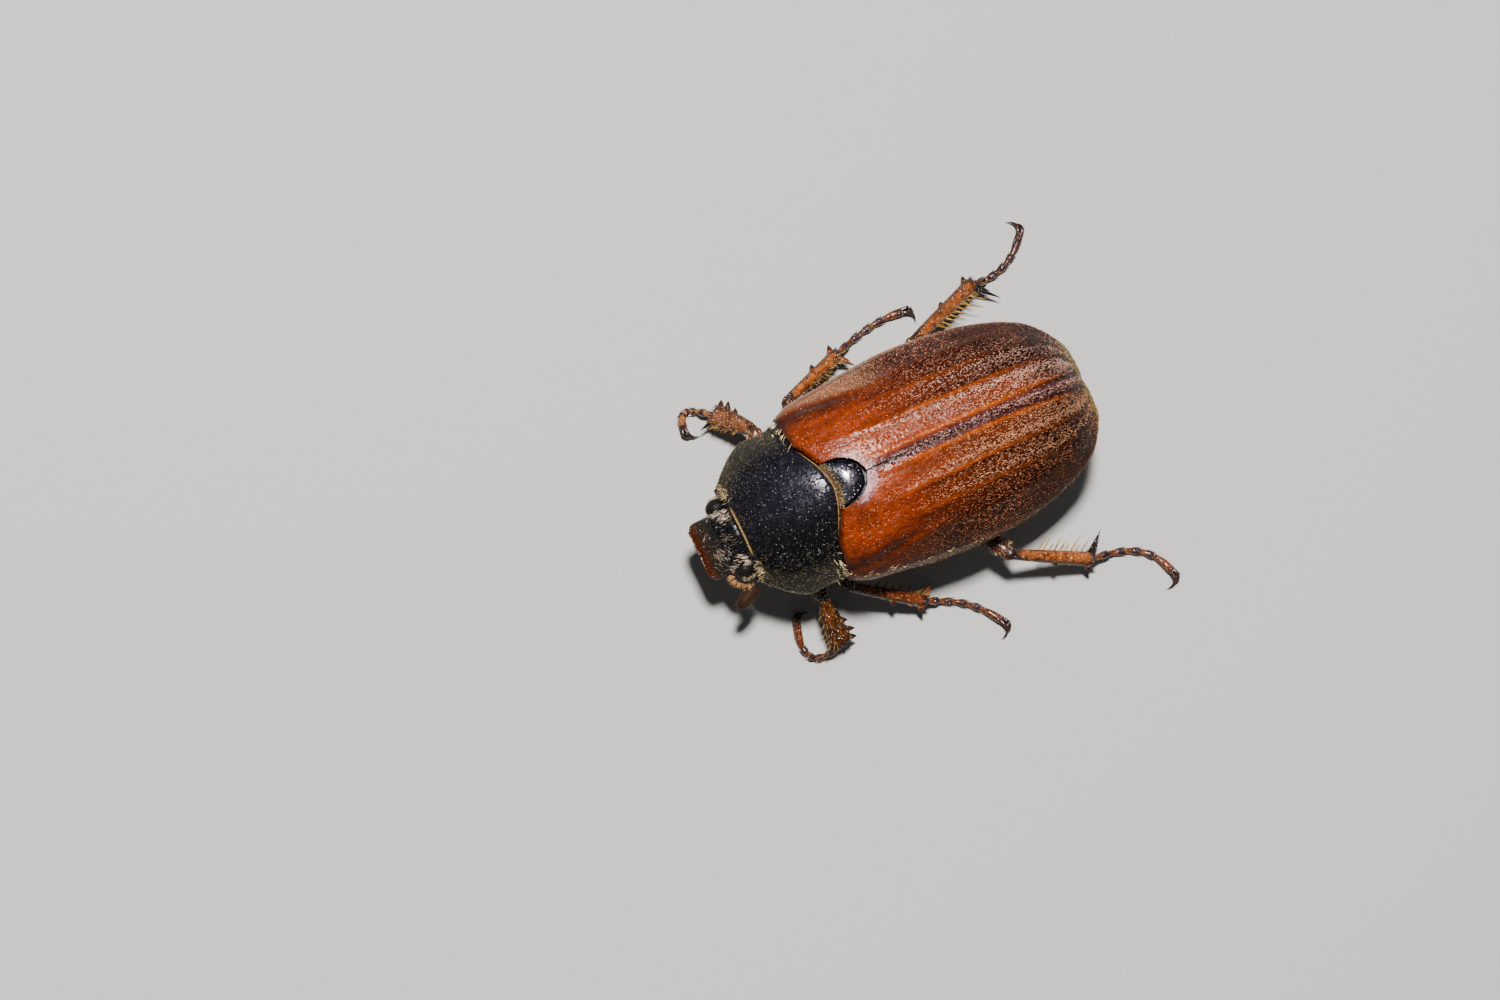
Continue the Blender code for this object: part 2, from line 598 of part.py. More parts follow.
def shin_side(leg):
    """The level direction in which a shin's teeth stand."""
    knee, ankle = (Vector(point) for point in LEGS[leg][1:3])
    outward = PAIRS[leg.split("_")[0]][-1] * (1.0 if leg.endswith("right") else -1.0)
    return (ankle - knee).cross(Vector((0, 0, 1))).normalized() * outward


def shin(name, leg, grow=0.0):
    """The shin without its teeth and spurs, from inside the knee to its flared end."""
    knee, ankle = (Vector(point) for point in LEGS[leg][1:3])
    start, end, flatness = PAIRS[leg.split("_")[0]][2:5]
    path = [knee.lerp(ankle, share) for share, _ in SHIN_SHAPE]
    wide = [start + (end - start) * scale for _, scale in SHIN_SHAPE]
    tall = [max(half * flatness, SHIN_HALF_HEIGHT) for half in wide]
    return tube(name, path, wide, tall, 8, grow)


def shin_node(leg):
    """The shin with its outer teeth and its spur, cut clear of the knee."""
    knee, ankle = (Vector(point) for point in LEGS[leg][1:3])
    pair = PAIRS[leg.split("_")[0]]
    start, end, spur_length, teeth = pair[2], pair[3], pair[5], pair[6]
    along = (ankle - knee).normalized()
    outer = shin_side(leg)
    pieces = [shin("shin", leg)]
    for share, length in teeth:
        half = start + (end - start) * share
        root = knee.lerp(ankle, share) + outer * half * 0.3 - along * 0.12
        tip = knee.lerp(ankle, share) + outer * (half + length) + along * length * 0.35
        pieces.append(spike("tooth", root, tip, TOOTH_RADIUS, -outer * 0.02, 6))
    heading = along * math.cos(SPUR_SPREAD) - outer * math.sin(SPUR_SPREAD)
    root = ankle - along * 0.3 - outer * end * 0.25
    tip = ankle - along * 0.15 - outer * end + heading * spur_length
    tip.z = max(tip.z, SPUR_CLEARANCE)
    pieces.append(spike("spur", root, tip, SPUR_RADIUS))
    whole = fuse(leg + "_tibia", pieces)
    return carve(whole, [thigh(leg, GAP)])


def foot_path(leg, share):
    """A point of the foot's centre line, from the ankle (0) to the claws' root (1)."""
    ankle, toward, end = LEGS[leg][2], LEGS[leg][3], LEGS[leg][4]
    x, y = (ankle[n] * (1 - share) ** 2 + 2 * toward[n] * share * (1 - share) + end[n] * share ** 2
            for n in range(2))
    drop = max(0.0, 1 - share / FOOT_DROP) ** 2
    lift = max(0.0, 1 - (1 - share) / FOOT_LIFT) ** 2
    return Vector((x, y, FOOT_HEIGHT + (ankle[2] - FOOT_HEIGHT) * drop + CLAW_RISE * lift))


def foot_node(leg):
    """Five foot segments with flat pads on the floor and two curved claws, cut clear of the ankle."""
    path, radii = [foot_path(leg, -0.03)], [FOOT_WAIST]
    for segment in range(FOOT_SEGMENTS):
        for within, radius in SEGMENT_SHAPE:
            path.append(foot_path(leg, (segment + within) / FOOT_SEGMENTS))
            radii.append(radius)
    path.append(foot_path(leg, 1.0))
    radii.append(FOOT_WAIST)
    pieces = [tube("foot", path, radii, radii, 8)]
    end = foot_path(leg, 1.0)
    along = (end - foot_path(leg, 0.9)).normalized()
    side = along.cross(Vector((0, 0, 1))).normalized()
    for turn in (1, -1):
        claw = [foot_path(leg, 0.95) + side * turn * 0.06]
        for ahead, aside, height in (CLAW_BEND, CLAW_TIP):
            point = end + along * ahead + side * turn * aside
            point.z = height
            claw.append(point)
        pieces.append(tube("claw", claw, CLAW_RADII, CLAW_RADII, 6))
    whole = fuse(leg + "_tarsus", pieces)
    for vertex in whole.data.vertices:
        vertex.co.z = max(vertex.co.z, 0.0)
    return carve(whole, [shin("cutter", leg, GAP)])


def build_body():
    """Head, feelers, thorax, wing cases and abdomen."""
    head = carve(head_shape("head"), [ball("cutter", mirrored([EYE_CENTRE], side)[0], EYE_RADII, 12, GAP)
                                      for _, side in SIDES])
    nodes = [(head, "black")]
    for word, side in SIDES:
        nodes.append((ball("eye_" + word, mirrored([EYE_CENTRE], side)[0], EYE_RADII, 14), "eye"))
        stem = carve(stalk("antenna_" + word, word), [head_shape("cutter", GAP)])
        nodes.append((stem, "feeler_brown"))
        nodes.append((carve(club("club_" + word, word), [stalk("cutter", word, GAP)]), "club_brown"))
        radii = [PALP_RADIUS * scale for scale in (1.0, 1.1, 1.15, 0.6)]
        palp = tube("palp_" + word, mirrored(PALP, side), radii, radii, 8)
        nodes.append((carve(palp, [head_shape("cutter", GAP)]), "feeler_brown"))
        nodes.append((elytron("elytron_" + word, side), "red_brown"))
    nodes.append((carve(pronotum_body(), sockets("fore") + [head_shape("cutter", GAP)]), "black"))
    nodes.append((scutellum("scutellum"), "black"))
    nodes.append((carve(trunk("thorax", None, WAIST, 6), sockets("mid") + sockets("hind")), "black"))
    abdomen = trunk("abdomen", WAIST + GAP, 16.9, 9)
    nodes.append((carve(abdomen, sockets("hind") + [behind_plate()]), "black"))
    nodes.append((pygidium_plate(), "black"))
    return nodes


def build_legs():
    """Thigh, shin and foot of each of the six legs."""
    nodes = []
    for leg in LEGS:
        nodes.append((fuse(leg + "_femur", [thigh(leg), hip_ball(leg)]), "leg_brown"))
        nodes.append((shin_node(leg), "leg_brown"))
        nodes.append((foot_node(leg), "leg_brown"))
    return nodes


def place_on_floor(nodes):
    """Scale every node to metres, with the origin below the middle of the whole box."""
    corners = np.array([vertex.co for node in nodes for vertex in node.data.vertices])
    low, high = corners.min(axis=0), corners.max(axis=0)
    shift = Vector((-(low[0] + high[0]) / 2, -(low[1] + high[1]) / 2, -low[2]))
    for node in nodes:
        for vertex in node.data.vertices:
            vertex.co = (vertex.co + shift) * MM
        node.data.update()


def main():
    for leftover in list(bpy.data.objects):
        bpy.data.objects.remove(leftover)
    nodes = [finish(piece, colour) for piece, colour in build_body() + build_legs()]
    place_on_floor(nodes)


main()
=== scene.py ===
"""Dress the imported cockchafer: fine shell plates, legs and feelers, and real hair over them.

Every length is in millimetres in the beetle's own frame until a piece is made. The head points to -Y, the
left side to +X and the back to +Z. x = 0 and y = 0 lie at the middle of the pronotum's rear margin, and
z = 0 is the floor.
"""

import math

import bmesh
import bpy
import numpy as np
from mathutils import Matrix, Vector


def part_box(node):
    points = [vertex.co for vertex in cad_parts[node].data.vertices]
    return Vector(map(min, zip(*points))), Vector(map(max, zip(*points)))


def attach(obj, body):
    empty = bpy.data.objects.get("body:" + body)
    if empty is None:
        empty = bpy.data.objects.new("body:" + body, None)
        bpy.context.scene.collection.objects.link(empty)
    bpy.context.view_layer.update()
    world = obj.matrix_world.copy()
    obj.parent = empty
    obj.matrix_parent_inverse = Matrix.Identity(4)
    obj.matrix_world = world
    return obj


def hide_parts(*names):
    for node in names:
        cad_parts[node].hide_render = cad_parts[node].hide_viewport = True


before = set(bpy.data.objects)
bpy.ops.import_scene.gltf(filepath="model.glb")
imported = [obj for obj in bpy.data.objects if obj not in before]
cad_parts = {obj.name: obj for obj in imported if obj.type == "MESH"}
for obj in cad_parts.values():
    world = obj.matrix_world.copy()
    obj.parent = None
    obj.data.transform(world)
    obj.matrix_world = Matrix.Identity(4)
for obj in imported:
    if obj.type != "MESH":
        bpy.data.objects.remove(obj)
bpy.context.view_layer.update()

MM = 0.001
pronotum_low, pronotum_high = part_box("pronotum")
ORIGIN = np.array([(pronotum_low[0] + pronotum_high[0]) / 2, pronotum_high[1], 0.0])
SIDES = (("left", 1.0), ("right", -1.0))
PATCH = 0.003                   # size of one hair's patch on the unwrap of its skin


def profile(*stations):
    """Return a smooth curve through (position, value) pairs that doesn't overshoot between them."""
    place = np.array([station[0] for station in stations], float)
    value = np.array([station[1] for station in stations], float)
    step = np.diff(place)
    rise = np.diff(value) / step
    slope = np.concatenate(([rise[0]], np.zeros(len(rise) - 1), [rise[-1]]))
    for i in range(1, len(rise)):
        if rise[i - 1] * rise[i] > 0:
            slope[i] = 2 * rise[i - 1] * rise[i] / (rise[i - 1] + rise[i])

    def curve(at):
        at = np.clip(at, place[0], place[-1])
        i = np.clip(np.searchsorted(place, at) - 1, 0, len(step) - 1)
        t = (at - place[i]) / step[i]
        return (value[i] * (1 + 2 * t) * (1 - t) ** 2 + value[i + 1] * t * t * (3 - 2 * t)
                + step[i] * (slope[i] * t * (1 - t) ** 2 - slope[i + 1] * t * t * (1 - t)))
    return curve


def evenly(*values):
    """Return a smooth curve through values at 0, 1, 2 and so on."""
    return profile(*enumerate(values))


def ease(x, low, high):
    """Rise smoothly from 0 at low to 1 at high."""
    t = np.clip((x - low) / (high - low), 0, 1)
    return t * t * (3 - 2 * t)


def hump(x, width):
    """A smooth hump of height 1 around 0."""
    return np.exp(-(x / width) ** 2)


def mix(a, b, share):
    """Blend two colours, or arrays of colours, by an array of shares."""
    share = np.asarray(share, float)[..., None]
    return np.asarray(a, float) * (1 - share) + np.asarray(b, float) * share


# Shape of the body
ELYTRA_WIDTH = profile((-0.9, 5.25), (-0.65, 5.4), (0.5, 5.8), (4, 6.2), (7.5, 6.4), (9.5, 6.3), (12, 5.95),
                       (13.8, 5.45), (15.4, 4.75), (16.5, 3.75), (17.2, 2.6), (17.5, 1.9))
ELYTRA_RIDGE = profile((-0.9, 9.2), (0.5, 9.54), (1.5, 9.71), (2.5, 9.84), (3.5, 9.91), (6, 10.03),
                       (8.5, 10.1), (11, 9.95), (14, 9.2), (16, 7.9), (17.5, 6.3))
ELYTRA_MARGIN = profile((-0.9, 6.1), (2, 5.6), (5, 5.2), (10, 5.2), (13, 5.35), (15.4, 5.55), (17.5, 5.95))
ELYTRA_END = 17.5
ELYTRA_ARCH = (2.35, 1.8)
LEAN = 0.016                    # how far the hind body bends to its left for each mm behind the pronotum
# Each rib: its share of the half width from front to rear, then its height and its end
RIBS = ((profile((-0.9, 0.085), (9, 0.085), (17.5, 0.16)), 0.09, 17.4),
        (profile((-0.9, 0.49), (5, 0.345), (9, 0.33), (13.5, 0.37), (17.5, 0.46)), 0.13, 15.8),
        (profile((-0.9, 0.69), (5, 0.57), (9, 0.55), (13.5, 0.61), (17.5, 0.68)), 0.12, 15.0),
        (profile((-0.9, 0.82), (5, 0.76), (9, 0.75), (17.5, 0.84)), 0.09, 14.0),
        (profile((-0.9, 0.93), (9, 0.90), (17.5, 0.94)), 0.06, 14.5))
RIB_STRENGTHS = (0.9, 0.6, 0.3, 0.12, 0.06)         # how orange each rib is
# For each rib but the first: how bare it is, and how close the hair stands on its inner side
RIB_DOWN = ((0.93, 0.8), (0.85, 0.2), (0.5, 0.15), (0.35, 0.1))
CASE_THICKNESS = 0.36
CASE_EDGE, CASE_DROP = 0.32, 0.3            # width and depth of the rounding along a wing case's front and end
SHOULDER_BUMP = (4.45, 0.7, 0.9, 0.22)      # x, y, radius and height of the swelling at each shoulder
CREASE = profile((-0.9, 5.05), (2, 4.85), (5, 4.3), (7, 4.0))      # x of the crease behind the shoulder

REAR_MARGIN = profile((0, 0), (0.9, -0.15), (1.5, -0.35), (2.5, -0.76), (3.4, -1.12), (4.3, -1.1),
                      (5.4, -0.95))
PRONOTUM_FRONT = -5.75
PRONOTUM_WIDTH = profile((0, 3.0), (0.2, 3.85), (0.4, 4.55), (0.58, 4.9), (0.78, 4.85), (1, 4.95))
PRONOTUM_TOP = profile((0, 7.25), (0.3, 8.15), (0.65, 8.9), (0.9, 9.26), (1, 9.32))
PRONOTUM_BOTTOM = profile((0, 3.3), (0.5, 2.5), (1, 2.2))
PRONOTUM_SIDE = profile((0, 5.6), (0.55, 5.1), (1, 5.5))
PRONOTUM_ARCH = (2.0, 1.5)
PRONOTUM_KEEL = 1.6

SCUTELLUM_HALF_WIDTH = 1.45
SCUTELLUM_FRONT, SCUTELLUM_END = 0.15, 1.95
SCUTELLUM_TOP = 9.48

BELLY = profile((-1, 2.1), (0.5, 1.6), (3, 1.3), (6, 1.3), (9, 1.6), (13, 2.4), (17, 3.3))
BELLY_ARCH = 1.45
WAIST = 7.5
BODY_END = 16.9
PYGIDIUM_BASE, PYGIDIUM_TIP = (16.8, 5.5), (18.35, 1.9)
PYGIDIUM_WIDTH = profile((0, 3.1), (0.25, 2.75), (0.6, 1.55), (0.85, 0.7), (1, 0.42))
PYGIDIUM_BULGE = 0.35

HEAD_TOP_Y = evenly(-4.7, -5.7, -6.3, -6.85, -7.25, -7.65, -7.97, -8.1)
HEAD_TOP_Z = evenly(6.5, 6.85, 6.7, 6.2, 5.7, 5.2, 4.95, 4.8)
HEAD_LOW_Y = evenly(-4.6, -5.3, -5.9, -6.4, -6.95, -7.4, -7.8, -8.0)
HEAD_LOW_Z = evenly(4.4, 3.9, 3.6, 3.45, 3.55, 3.85, 4.2, 4.4)
HEAD_HALF = evenly(1.6, 2.0, 2.1, 2.0, 1.85, 1.85, 1.75, 1.5)
HEAD_SQUARE = evenly(2.2, 2.2, 2.3, 2.4, 2.7, 3.0, 3.2, 3.2)
# Tufts on the head: place beside the middle, place ahead of the pronotum's rear margin, radius, number of
# hairs, the way they point, and how pale they are
HEAD_TUFTS = ((-1.40, -5.95, 0.36, 95, (0.15, -1), 1.0), (-1.78, -6.50, 0.22, 30, (0.3, -1), 0.9),
              (1.95, -5.70, 0.34, 75, (-0.4, -1), 1.1), (1.45, -6.10, 0.22, 30, (-0.5, -1), 1.0),
              (0.85, -7.10, 0.34, 58, (-1, -0.4), 0.5), (1.78, -6.65, 0.14, 22, (0, -1), 0.7),
              (-0.75, -7.40, 0.10, 7, (0.5, -1), 0.9), (0.1, -6.30, 0.45, 18, (-0.2, -1), 0.35),
              (0.0, -6.60, 1.20, 40, (0, -1), 0.3))
EYE_CENTRE, EYE_RADII = (2.02, -6.15, 5.45), (0.55, 0.66, 0.62)

STALKS = {"left": ((1.5, -7.0, 4.55), (2.3, -6.95, 4.6), (2.75, -6.55, 4.55), (3.02, -6.0, 4.4)),
          "right": ((-1.35, -6.85, 4.2), (-1.7, -6.6, 3.5), (-1.85, -6.05, 3.15), (-1.8, -5.75, 3.05))}
CLUBS = {"left": ((3.12, -5.75, 4.35), (3.85, -7.3, 4.1)),
         "right": ((-1.75, -5.6, 3.0), (-1.35, -7.15, 2.75))}
STALK_RADIUS = 0.19
CLUB_HALF_WIDTH, CLUB_HALF_HEIGHT = 0.42, 0.4
CLUB_LEAVES = 6
PALP = ((0.5, -7.1, 3.9), (0.6, -7.4, 3.4), (0.68, -7.55, 2.95), (0.7, -7.45, 2.5))

# Legs: hip, knee, ankle, the point toward which the foot sets out, and the foot's end
LEGS = {
    "fore_left": ((1.3, -2.6, 2.5), (5.25, -2.1, 2.9), (8.2, -1.85, 1.15), (9.0, -4.7), (5.95, -3.65)),
    "fore_right": ((-1.3, -2.6, 2.5), (-5.5, -1.35, 2.9), (-7.6, -2.8, 1.15), (-9.35, -4.35), (-7.7, -4.65)),
    "mid_left": ((1.6, 1.5, 1.9), (5.4, -0.5, 3.5), (8.0, 3.9, 1.1), (8.6, 6.6), (11.0, 7.9)),
    "mid_right": ((-1.6, 1.5, 1.9), (-6.25, 1.1, 3.5), (-7.8, 5.75, 1.1), (-8.9, 8.6), (-8.6, 10.75)),
    "hind_left": ((2.2, 6.9, 1.8), (7.8, 9.4, 3.5), (10.0, 14.4, 1.2), (10.0, 18.3), (12.7, 18.85)),
    "hind_right": ((-1.9, 6.7, 1.8), (-6.4, 9.85, 3.2), (-8.3, 15.35, 1.1), (-7.95, 18.1), (-9.9, 19.55)),
}
# By pair: hip radii, thigh half width, shin half widths at knee and ankle, shin flatness, spur length,
# outer teeth as (share of the shin, length), and on which side of the shin the teeth stand
PAIRS = {
    "fore": ((1.2, 0.85, 0.8), 0.66, 0.3, 0.7, 0.5, 0.7, ((0.6, 0.36), (0.8, 0.52), (0.97, 0.36)), 1.0),
    "mid": ((1.3, 0.9, 0.75), 0.66, 0.28, 0.4, 0.85, 1.1, ((0.6, 0.3), (0.97, 0.4)), -1.0),
    "hind": ((1.6, 1.0, 0.75), 0.72, 0.3, 0.44, 0.85, 1.7, ((0.55, 0.2), (0.95, 0.36)), -1.0),
}
# Separate bristles on the inner side of each shin: how many, and their length
BRISTLES = {"fore": (4, 0.45), "mid": (6, 0.7), "hind": (9, 1.35)}
THIGH_SHAPE = profile((0, 0.7), (0.12, 0.85), (0.3, 1.0), (0.5, 1.05), (0.72, 0.92), (0.9, 0.74), (1.0, 0.62),
                      (1.06, 0.3))
THIGH_FLATNESS = 0.82
SHIN_SHAPE = profile((0, 0), (0.12, 0.3), (0.4, 0.65), (0.7, 0.9), (0.94, 1.1), (1.0, 0.85))
FOOT_SEGMENTS = 5
LAST_SEGMENT = 0.7              # where along the foot its long last segment begins
FOOT_HEIGHT = 0.25
FOOT_DROP, FOOT_LIFT = 0.34, 0.18
CLAW_RISE = 0.2
# How far a claw's bend and its tip lie ahead of the foot's end, and its tip aside
CLAW_BEND, CLAW_TIP, CLAW_HOOK = 0.85, 0.62, 0.8
# Which way the claws hook as the foot is seen from above: 1 to its right, -1 to its left
CLAW_CURL = {"fore_left": 1, "fore_right": -1, "mid_left": 1, "mid_right": 1, "hind_left": 1,
             "hind_right": -1}

# Colours, in linear red, green and blue
BLACK = (0.0025, 0.0025, 0.003)
BLUE_BLACK = (0.0022, 0.0022, 0.005)
GOLD = (0.42, 0.26, 0.085)
TAN = (0.24, 0.12, 0.045)
BROWN = (0.040, 0.0065, 0.0012)
DARK_BROWN = (0.005, 0.0016, 0.0008)

ORANGE_RED = (0.130, 0.0165, 0.0024)
ORANGE = (0.24, 0.042, 0.001)
# The lighter band beside the suture, partly a painted highlight
SALMON_BAND_AND_HIGHLIGHT = (0.28, 0.050, 0.014)
# Painted highlight: the pale lilac sheen beside the small shield
HIGHLIGHT_LILAC = (0.30, 0.17, 0.19)
PURPLE_BROWN = (0.009, 0.0024, 0.0024)
PURPLE = (0.019, 0.0065, 0.013)
SUTURE_BROWN = (0.045, 0.012, 0.014)
SUTURE_LINE = (0.02, 0.010, 0.014)
# A painted highlight for the wing case's margin bead
MARGIN_BEAD_HIGHLIGHT = (0.10, 0.05, 0.03)
END_GOLD = (0.36, 0.26, 0.10)

SCUTELLUM_BASE = (0.2, 0.09, 0.03)
# Pronotum: grey, a blue painted reflection, and black that is also painted shade on the left half
SHIELD_GREY, SHIELD_BLUE_REFLECTION = (0.0034, 0.0031, 0.0034), (0.0045, 0.0042, 0.0095)
SHIELD_BLACK_AND_SHADE = (0.0014, 0.0014, 0.0014)
SHIELD_DUST = (0.014, 0.012, 0.006)
# Painted glints along the pronotum's side rims
SHIELD_RIM_GLINT = (0.34, 0.29, 0.20)
CLYPEUS_OLIVE, CLYPEUS_RIM = (0.015, 0.0105, 0.007), (0.036, 0.0070, 0.0020)
EYE_BLACK = (0.004, 0.0035, 0.0035)
STALK_TAN, STALK_RING = (0.20, 0.095, 0.036), (0.035, 0.012, 0.005)
CLUB_BROWN, CLUB_GROOVE = (0.018, 0.0068, 0.0016), (0.02, 0.010, 0.008)
BELLY_BROWN, BELLY_WHITE = (0.05, 0.022, 0.012), (0.55, 0.5, 0.42)
TAIL_BROWN = (0.04, 0.014, 0.007)

LEG_ORANGE = (0.105, 0.022, 0.003)
LEG_DARK = (0.010, 0.004, 0.004)
RIGHT_THIGH = (0.12, 0.035, 0.015)
# Each shin's colour, lighter or darker per leg as painted light and shade; the hind left's pale tone is partly
# a painted highlight
SHIN_COLOURS_AND_LIGHT = {"fore_left": (0.050, 0.012, 0.0012), "fore_right": (0.100, 0.032, 0.013),
                "mid_left": (0.105, 0.022, 0.004), "mid_right": (0.175, 0.042, 0.007),
                "hind_left": (0.185, 0.047, 0.010), "hind_right": (0.155, 0.040, 0.009)}
SPUR_BROWN = (0.16, 0.05, 0.02)
BRISTLE_GOLD, BRISTLE_BROWN = (0.30, 0.15, 0.02), (0.10, 0.035, 0.01)
FOOT_DARK = (0.020, 0.008, 0.012)
FOOT_DARKNESS = {"hind_right": 0.75, "mid_right": 0.35, "fore_right": 0.0}      # 0.15 for the others
CLAW_BROWN = (0.03, 0.010, 0.006)
FLOOR_GREY = (0.34, 0.337, 0.33, 1)

HAIR_WHITE = (0.92, 0.55, 0.42)
HAIR_PINK = (0.23, 0.073, 0.035)
HAIR_GOLD = (0.42, 0.25, 0.07)
HAIR_CREAM = (0.62, 0.46, 0.26)
HEAD_HAIR = (0.62, 0.47, 0.37)
SHIELD_HAIR_PALE, SHIELD_HAIR_DARK = (0.14, 0.11, 0.06), (0.012, 0.010, 0.008)
# Pale hairs standing in for glints on the pronotum
SHIELD_GLINT = (0.24, 0.20, 0.21)
FRONT_TUFT = (0.42, 0.31, 0.16)
SCUTELLUM_HAIR = (0.24, 0.16, 0.06)
# Pale lilac hairs of the painted highlight beside the small shield
HIGHLIGHT_HAIR = (0.80, 0.62, 0.66)
END_HAIR = (0.45, 0.34, 0.15)
CLUB_HAIR = (0.09, 0.04, 0.015)
BELLY_HAIR_WHITE = (0.86, 0.84, 0.8)
# By side: the hair outside the crease, and the tone of all the wing case's hair, darker on the left as painted
# shade
FLANK_HAIR = {1.0: (0.16, 0.11, 0.07), -1.0: (0.32, 0.19, 0.12)}
SIDE_HAIR_SHADE = {1.0: (0.75, 0.60, 0.42), -1.0: (1.0, 0.93, 0.95)}


# Making pieces

def place(points):
    """Turn millimetres of the beetle's frame into metres of the part's frame."""
    return np.asarray(points, float) * MM + ORIGIN


def lean(points):
    """Bend points of the hind body to its left, as the solids do."""
    bent = np.array(points, float)
    bent[..., 0] += LEAN * bent[..., 1]
    return bent


def grid_faces(rows, columns, wrap, start=0):
    """Quads between the rows of a grid of points; wrap joins the last column to the first."""
    j, i = np.meshgrid(np.arange(rows - 1), np.arange(columns if wrap else columns - 1), indexing="ij")
    a = j * columns + i
    b = j * columns + (i + 1) % columns
    return start + np.stack([a, b, b + columns, a + columns], -1).reshape(-1, 4)


def painted(colours, shape):
    """Spread a colour, or a colour and its gloss, over the points of a grid."""
    colours = np.asarray(colours, float)
    if colours.shape[-1] == 3:
        colours = np.concatenate([colours, np.ones(colours.shape[:-1] + (1,))], -1)
    return np.broadcast_to(colours, shape[:2] + (4,))


def build_mesh(name, points, quads, triangles, paint):
    """Make a mesh from arrays, with a colour for each point, and a gloss of 1 where the paint gives none."""
    mesh = bpy.data.meshes.new(name)
    corners = np.concatenate([np.asarray(quads, int).reshape(-1), np.asarray(triangles, int).reshape(-1)])
    starts = np.concatenate([np.arange(len(quads)) * 4, len(quads) * 4 + np.arange(len(triangles)) * 3])
    mesh.vertices.add(len(points))
    mesh.vertices.foreach_set("co", place(points).astype(np.float32).reshape(-1))
    mesh.loops.add(len(corners))
    mesh.loops.foreach_set("vertex_index", corners.astype(np.int32))
    mesh.polygons.add(len(starts))
    mesh.polygons.foreach_set("loop_start", starts.astype(np.int32))
    mesh.update(calc_edges=True)
    colours = mesh.attributes.new("paint", "FLOAT_COLOR", "POINT")
    shown = np.ones((len(points), 4), np.float32)
    shown[:, :paint.shape[1]] = paint
    colours.data.foreach_set("color", shown.reshape(-1))
    return mesh


def finish_piece(name, mesh, material, nodes=(), sharp=35):
    """Link a mesh as a piece that rides on the body and stands for its CAD nodes."""
    mesh.materials.append(material)
    mesh.shade_smooth()
    if sharp:
        mesh.set_sharp_from_angle(angle=math.radians(sharp))
    piece = bpy.data.objects.new(name, mesh)
    bpy.context.scene.collection.objects.link(piece)
    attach(piece, "root")
    if nodes:
        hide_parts(*nodes)
    return piece


class Solid:
    """Collects closed shapes that together make one piece."""

    def __init__(self):
        self.points, self.paint, self.quads, self.triangles = [], [], [], []
        self.count = 0

    def add(self, points, paint, quads, triangles):
        """Add the arrays of one closed shape."""
        self.points.append(np.asarray(points, float).reshape(-1, 3))
        self.paint.append(np.asarray(paint, float).reshape(-1, 4))
        self.quads.append(np.asarray(quads, int).reshape(-1, 4) + self.count)
        self.triangles.append(np.asarray(triangles, int).reshape(-1, 3) + self.count)
        self.count += len(self.points[-1])

    def loft(self, rings, paint):
        """Close a tube of rings with a fan on each end."""
        rows, columns = rings.shape[:2]
        paint = painted(paint, rings.shape)
        ends = np.array([rings[0].mean(axis=0), rings[-1].mean(axis=0)])
        points = np.concatenate([rings.reshape(-1, 3), ends])
        colours = np.concatenate([paint.reshape(-1, 4), [paint[0].mean(axis=0), paint[-1].mean(axis=0)]])
        i = np.arange(columns)
        after = (i + 1) % columns
        last = (rows - 1) * columns
        front = np.stack([after, i, np.full(columns, rows * columns)], -1)
        rear = np.stack([last + i, last + after, np.full(columns, rows * columns + 1)], -1)
        self.add(points, colours, grid_faces(rows, columns, True), np.concatenate([front, rear]))
        return self

    def plate(self, upper, lower, paint, under):
        """Close a plate between two grids of the same size."""
        rows, columns = upper.shape[:2]
        below = rows * columns
        rim = np.concatenate([np.arange(columns), np.arange(1, rows) * columns + columns - 1,
                              (rows - 1) * columns + np.arange(columns - 2, -1, -1),
                              np.arange(rows - 2, 0, -1) * columns])
        following = np.roll(rim, -1)
        sides = np.stack([following, rim, rim + below, following + below], -1)
        quads = np.concatenate([grid_faces(rows, columns, False),
                                grid_faces(rows, columns, False, below)[:, ::-1], sides])
        colours = np.concatenate([painted(paint, upper.shape).reshape(-1, 4),
                                  painted(under, lower.shape).reshape(-1, 4)])
        self.add(np.concatenate([upper.reshape(-1, 3), lower.reshape(-1, 3)]), colours, quads, [])
        return self

    def piece(self, name, material, slot, nodes=(), sharp=35):
        """Make the piece, with every closed shape's faces turned outward."""
        mesh = build_mesh(name, np.concatenate(self.points), np.concatenate(self.quads),
                          np.concatenate(self.triangles), np.concatenate(self.paint))
        shape = bmesh.new()
        shape.from_mesh(mesh)
        bmesh.ops.recalc_face_normals(shape, faces=shape.faces)
        shape.to_mesh(mesh)
        shape.free()
        return finish_piece(name, mesh, material, nodes, sharp)


def unit(vectors):
    """Scale vectors to a length of 1."""
    return vectors / np.maximum(np.linalg.norm(vectors, axis=-1, keepdims=True), 1e-9)


def grid_normals(grid, wrap=False):
    """Unit normals of a grid of points, on the side given by (down the rows) x (across the columns)."""
    if wrap:
        padded = np.concatenate([grid[:, -1:], grid, grid[:, :1]], axis=1)
        across = padded[:, 2:] - padded[:, :-2]
    else:
        across = np.gradient(grid, axis=1)
    return unit(np.cross(across, np.gradient(grid, axis=0)))


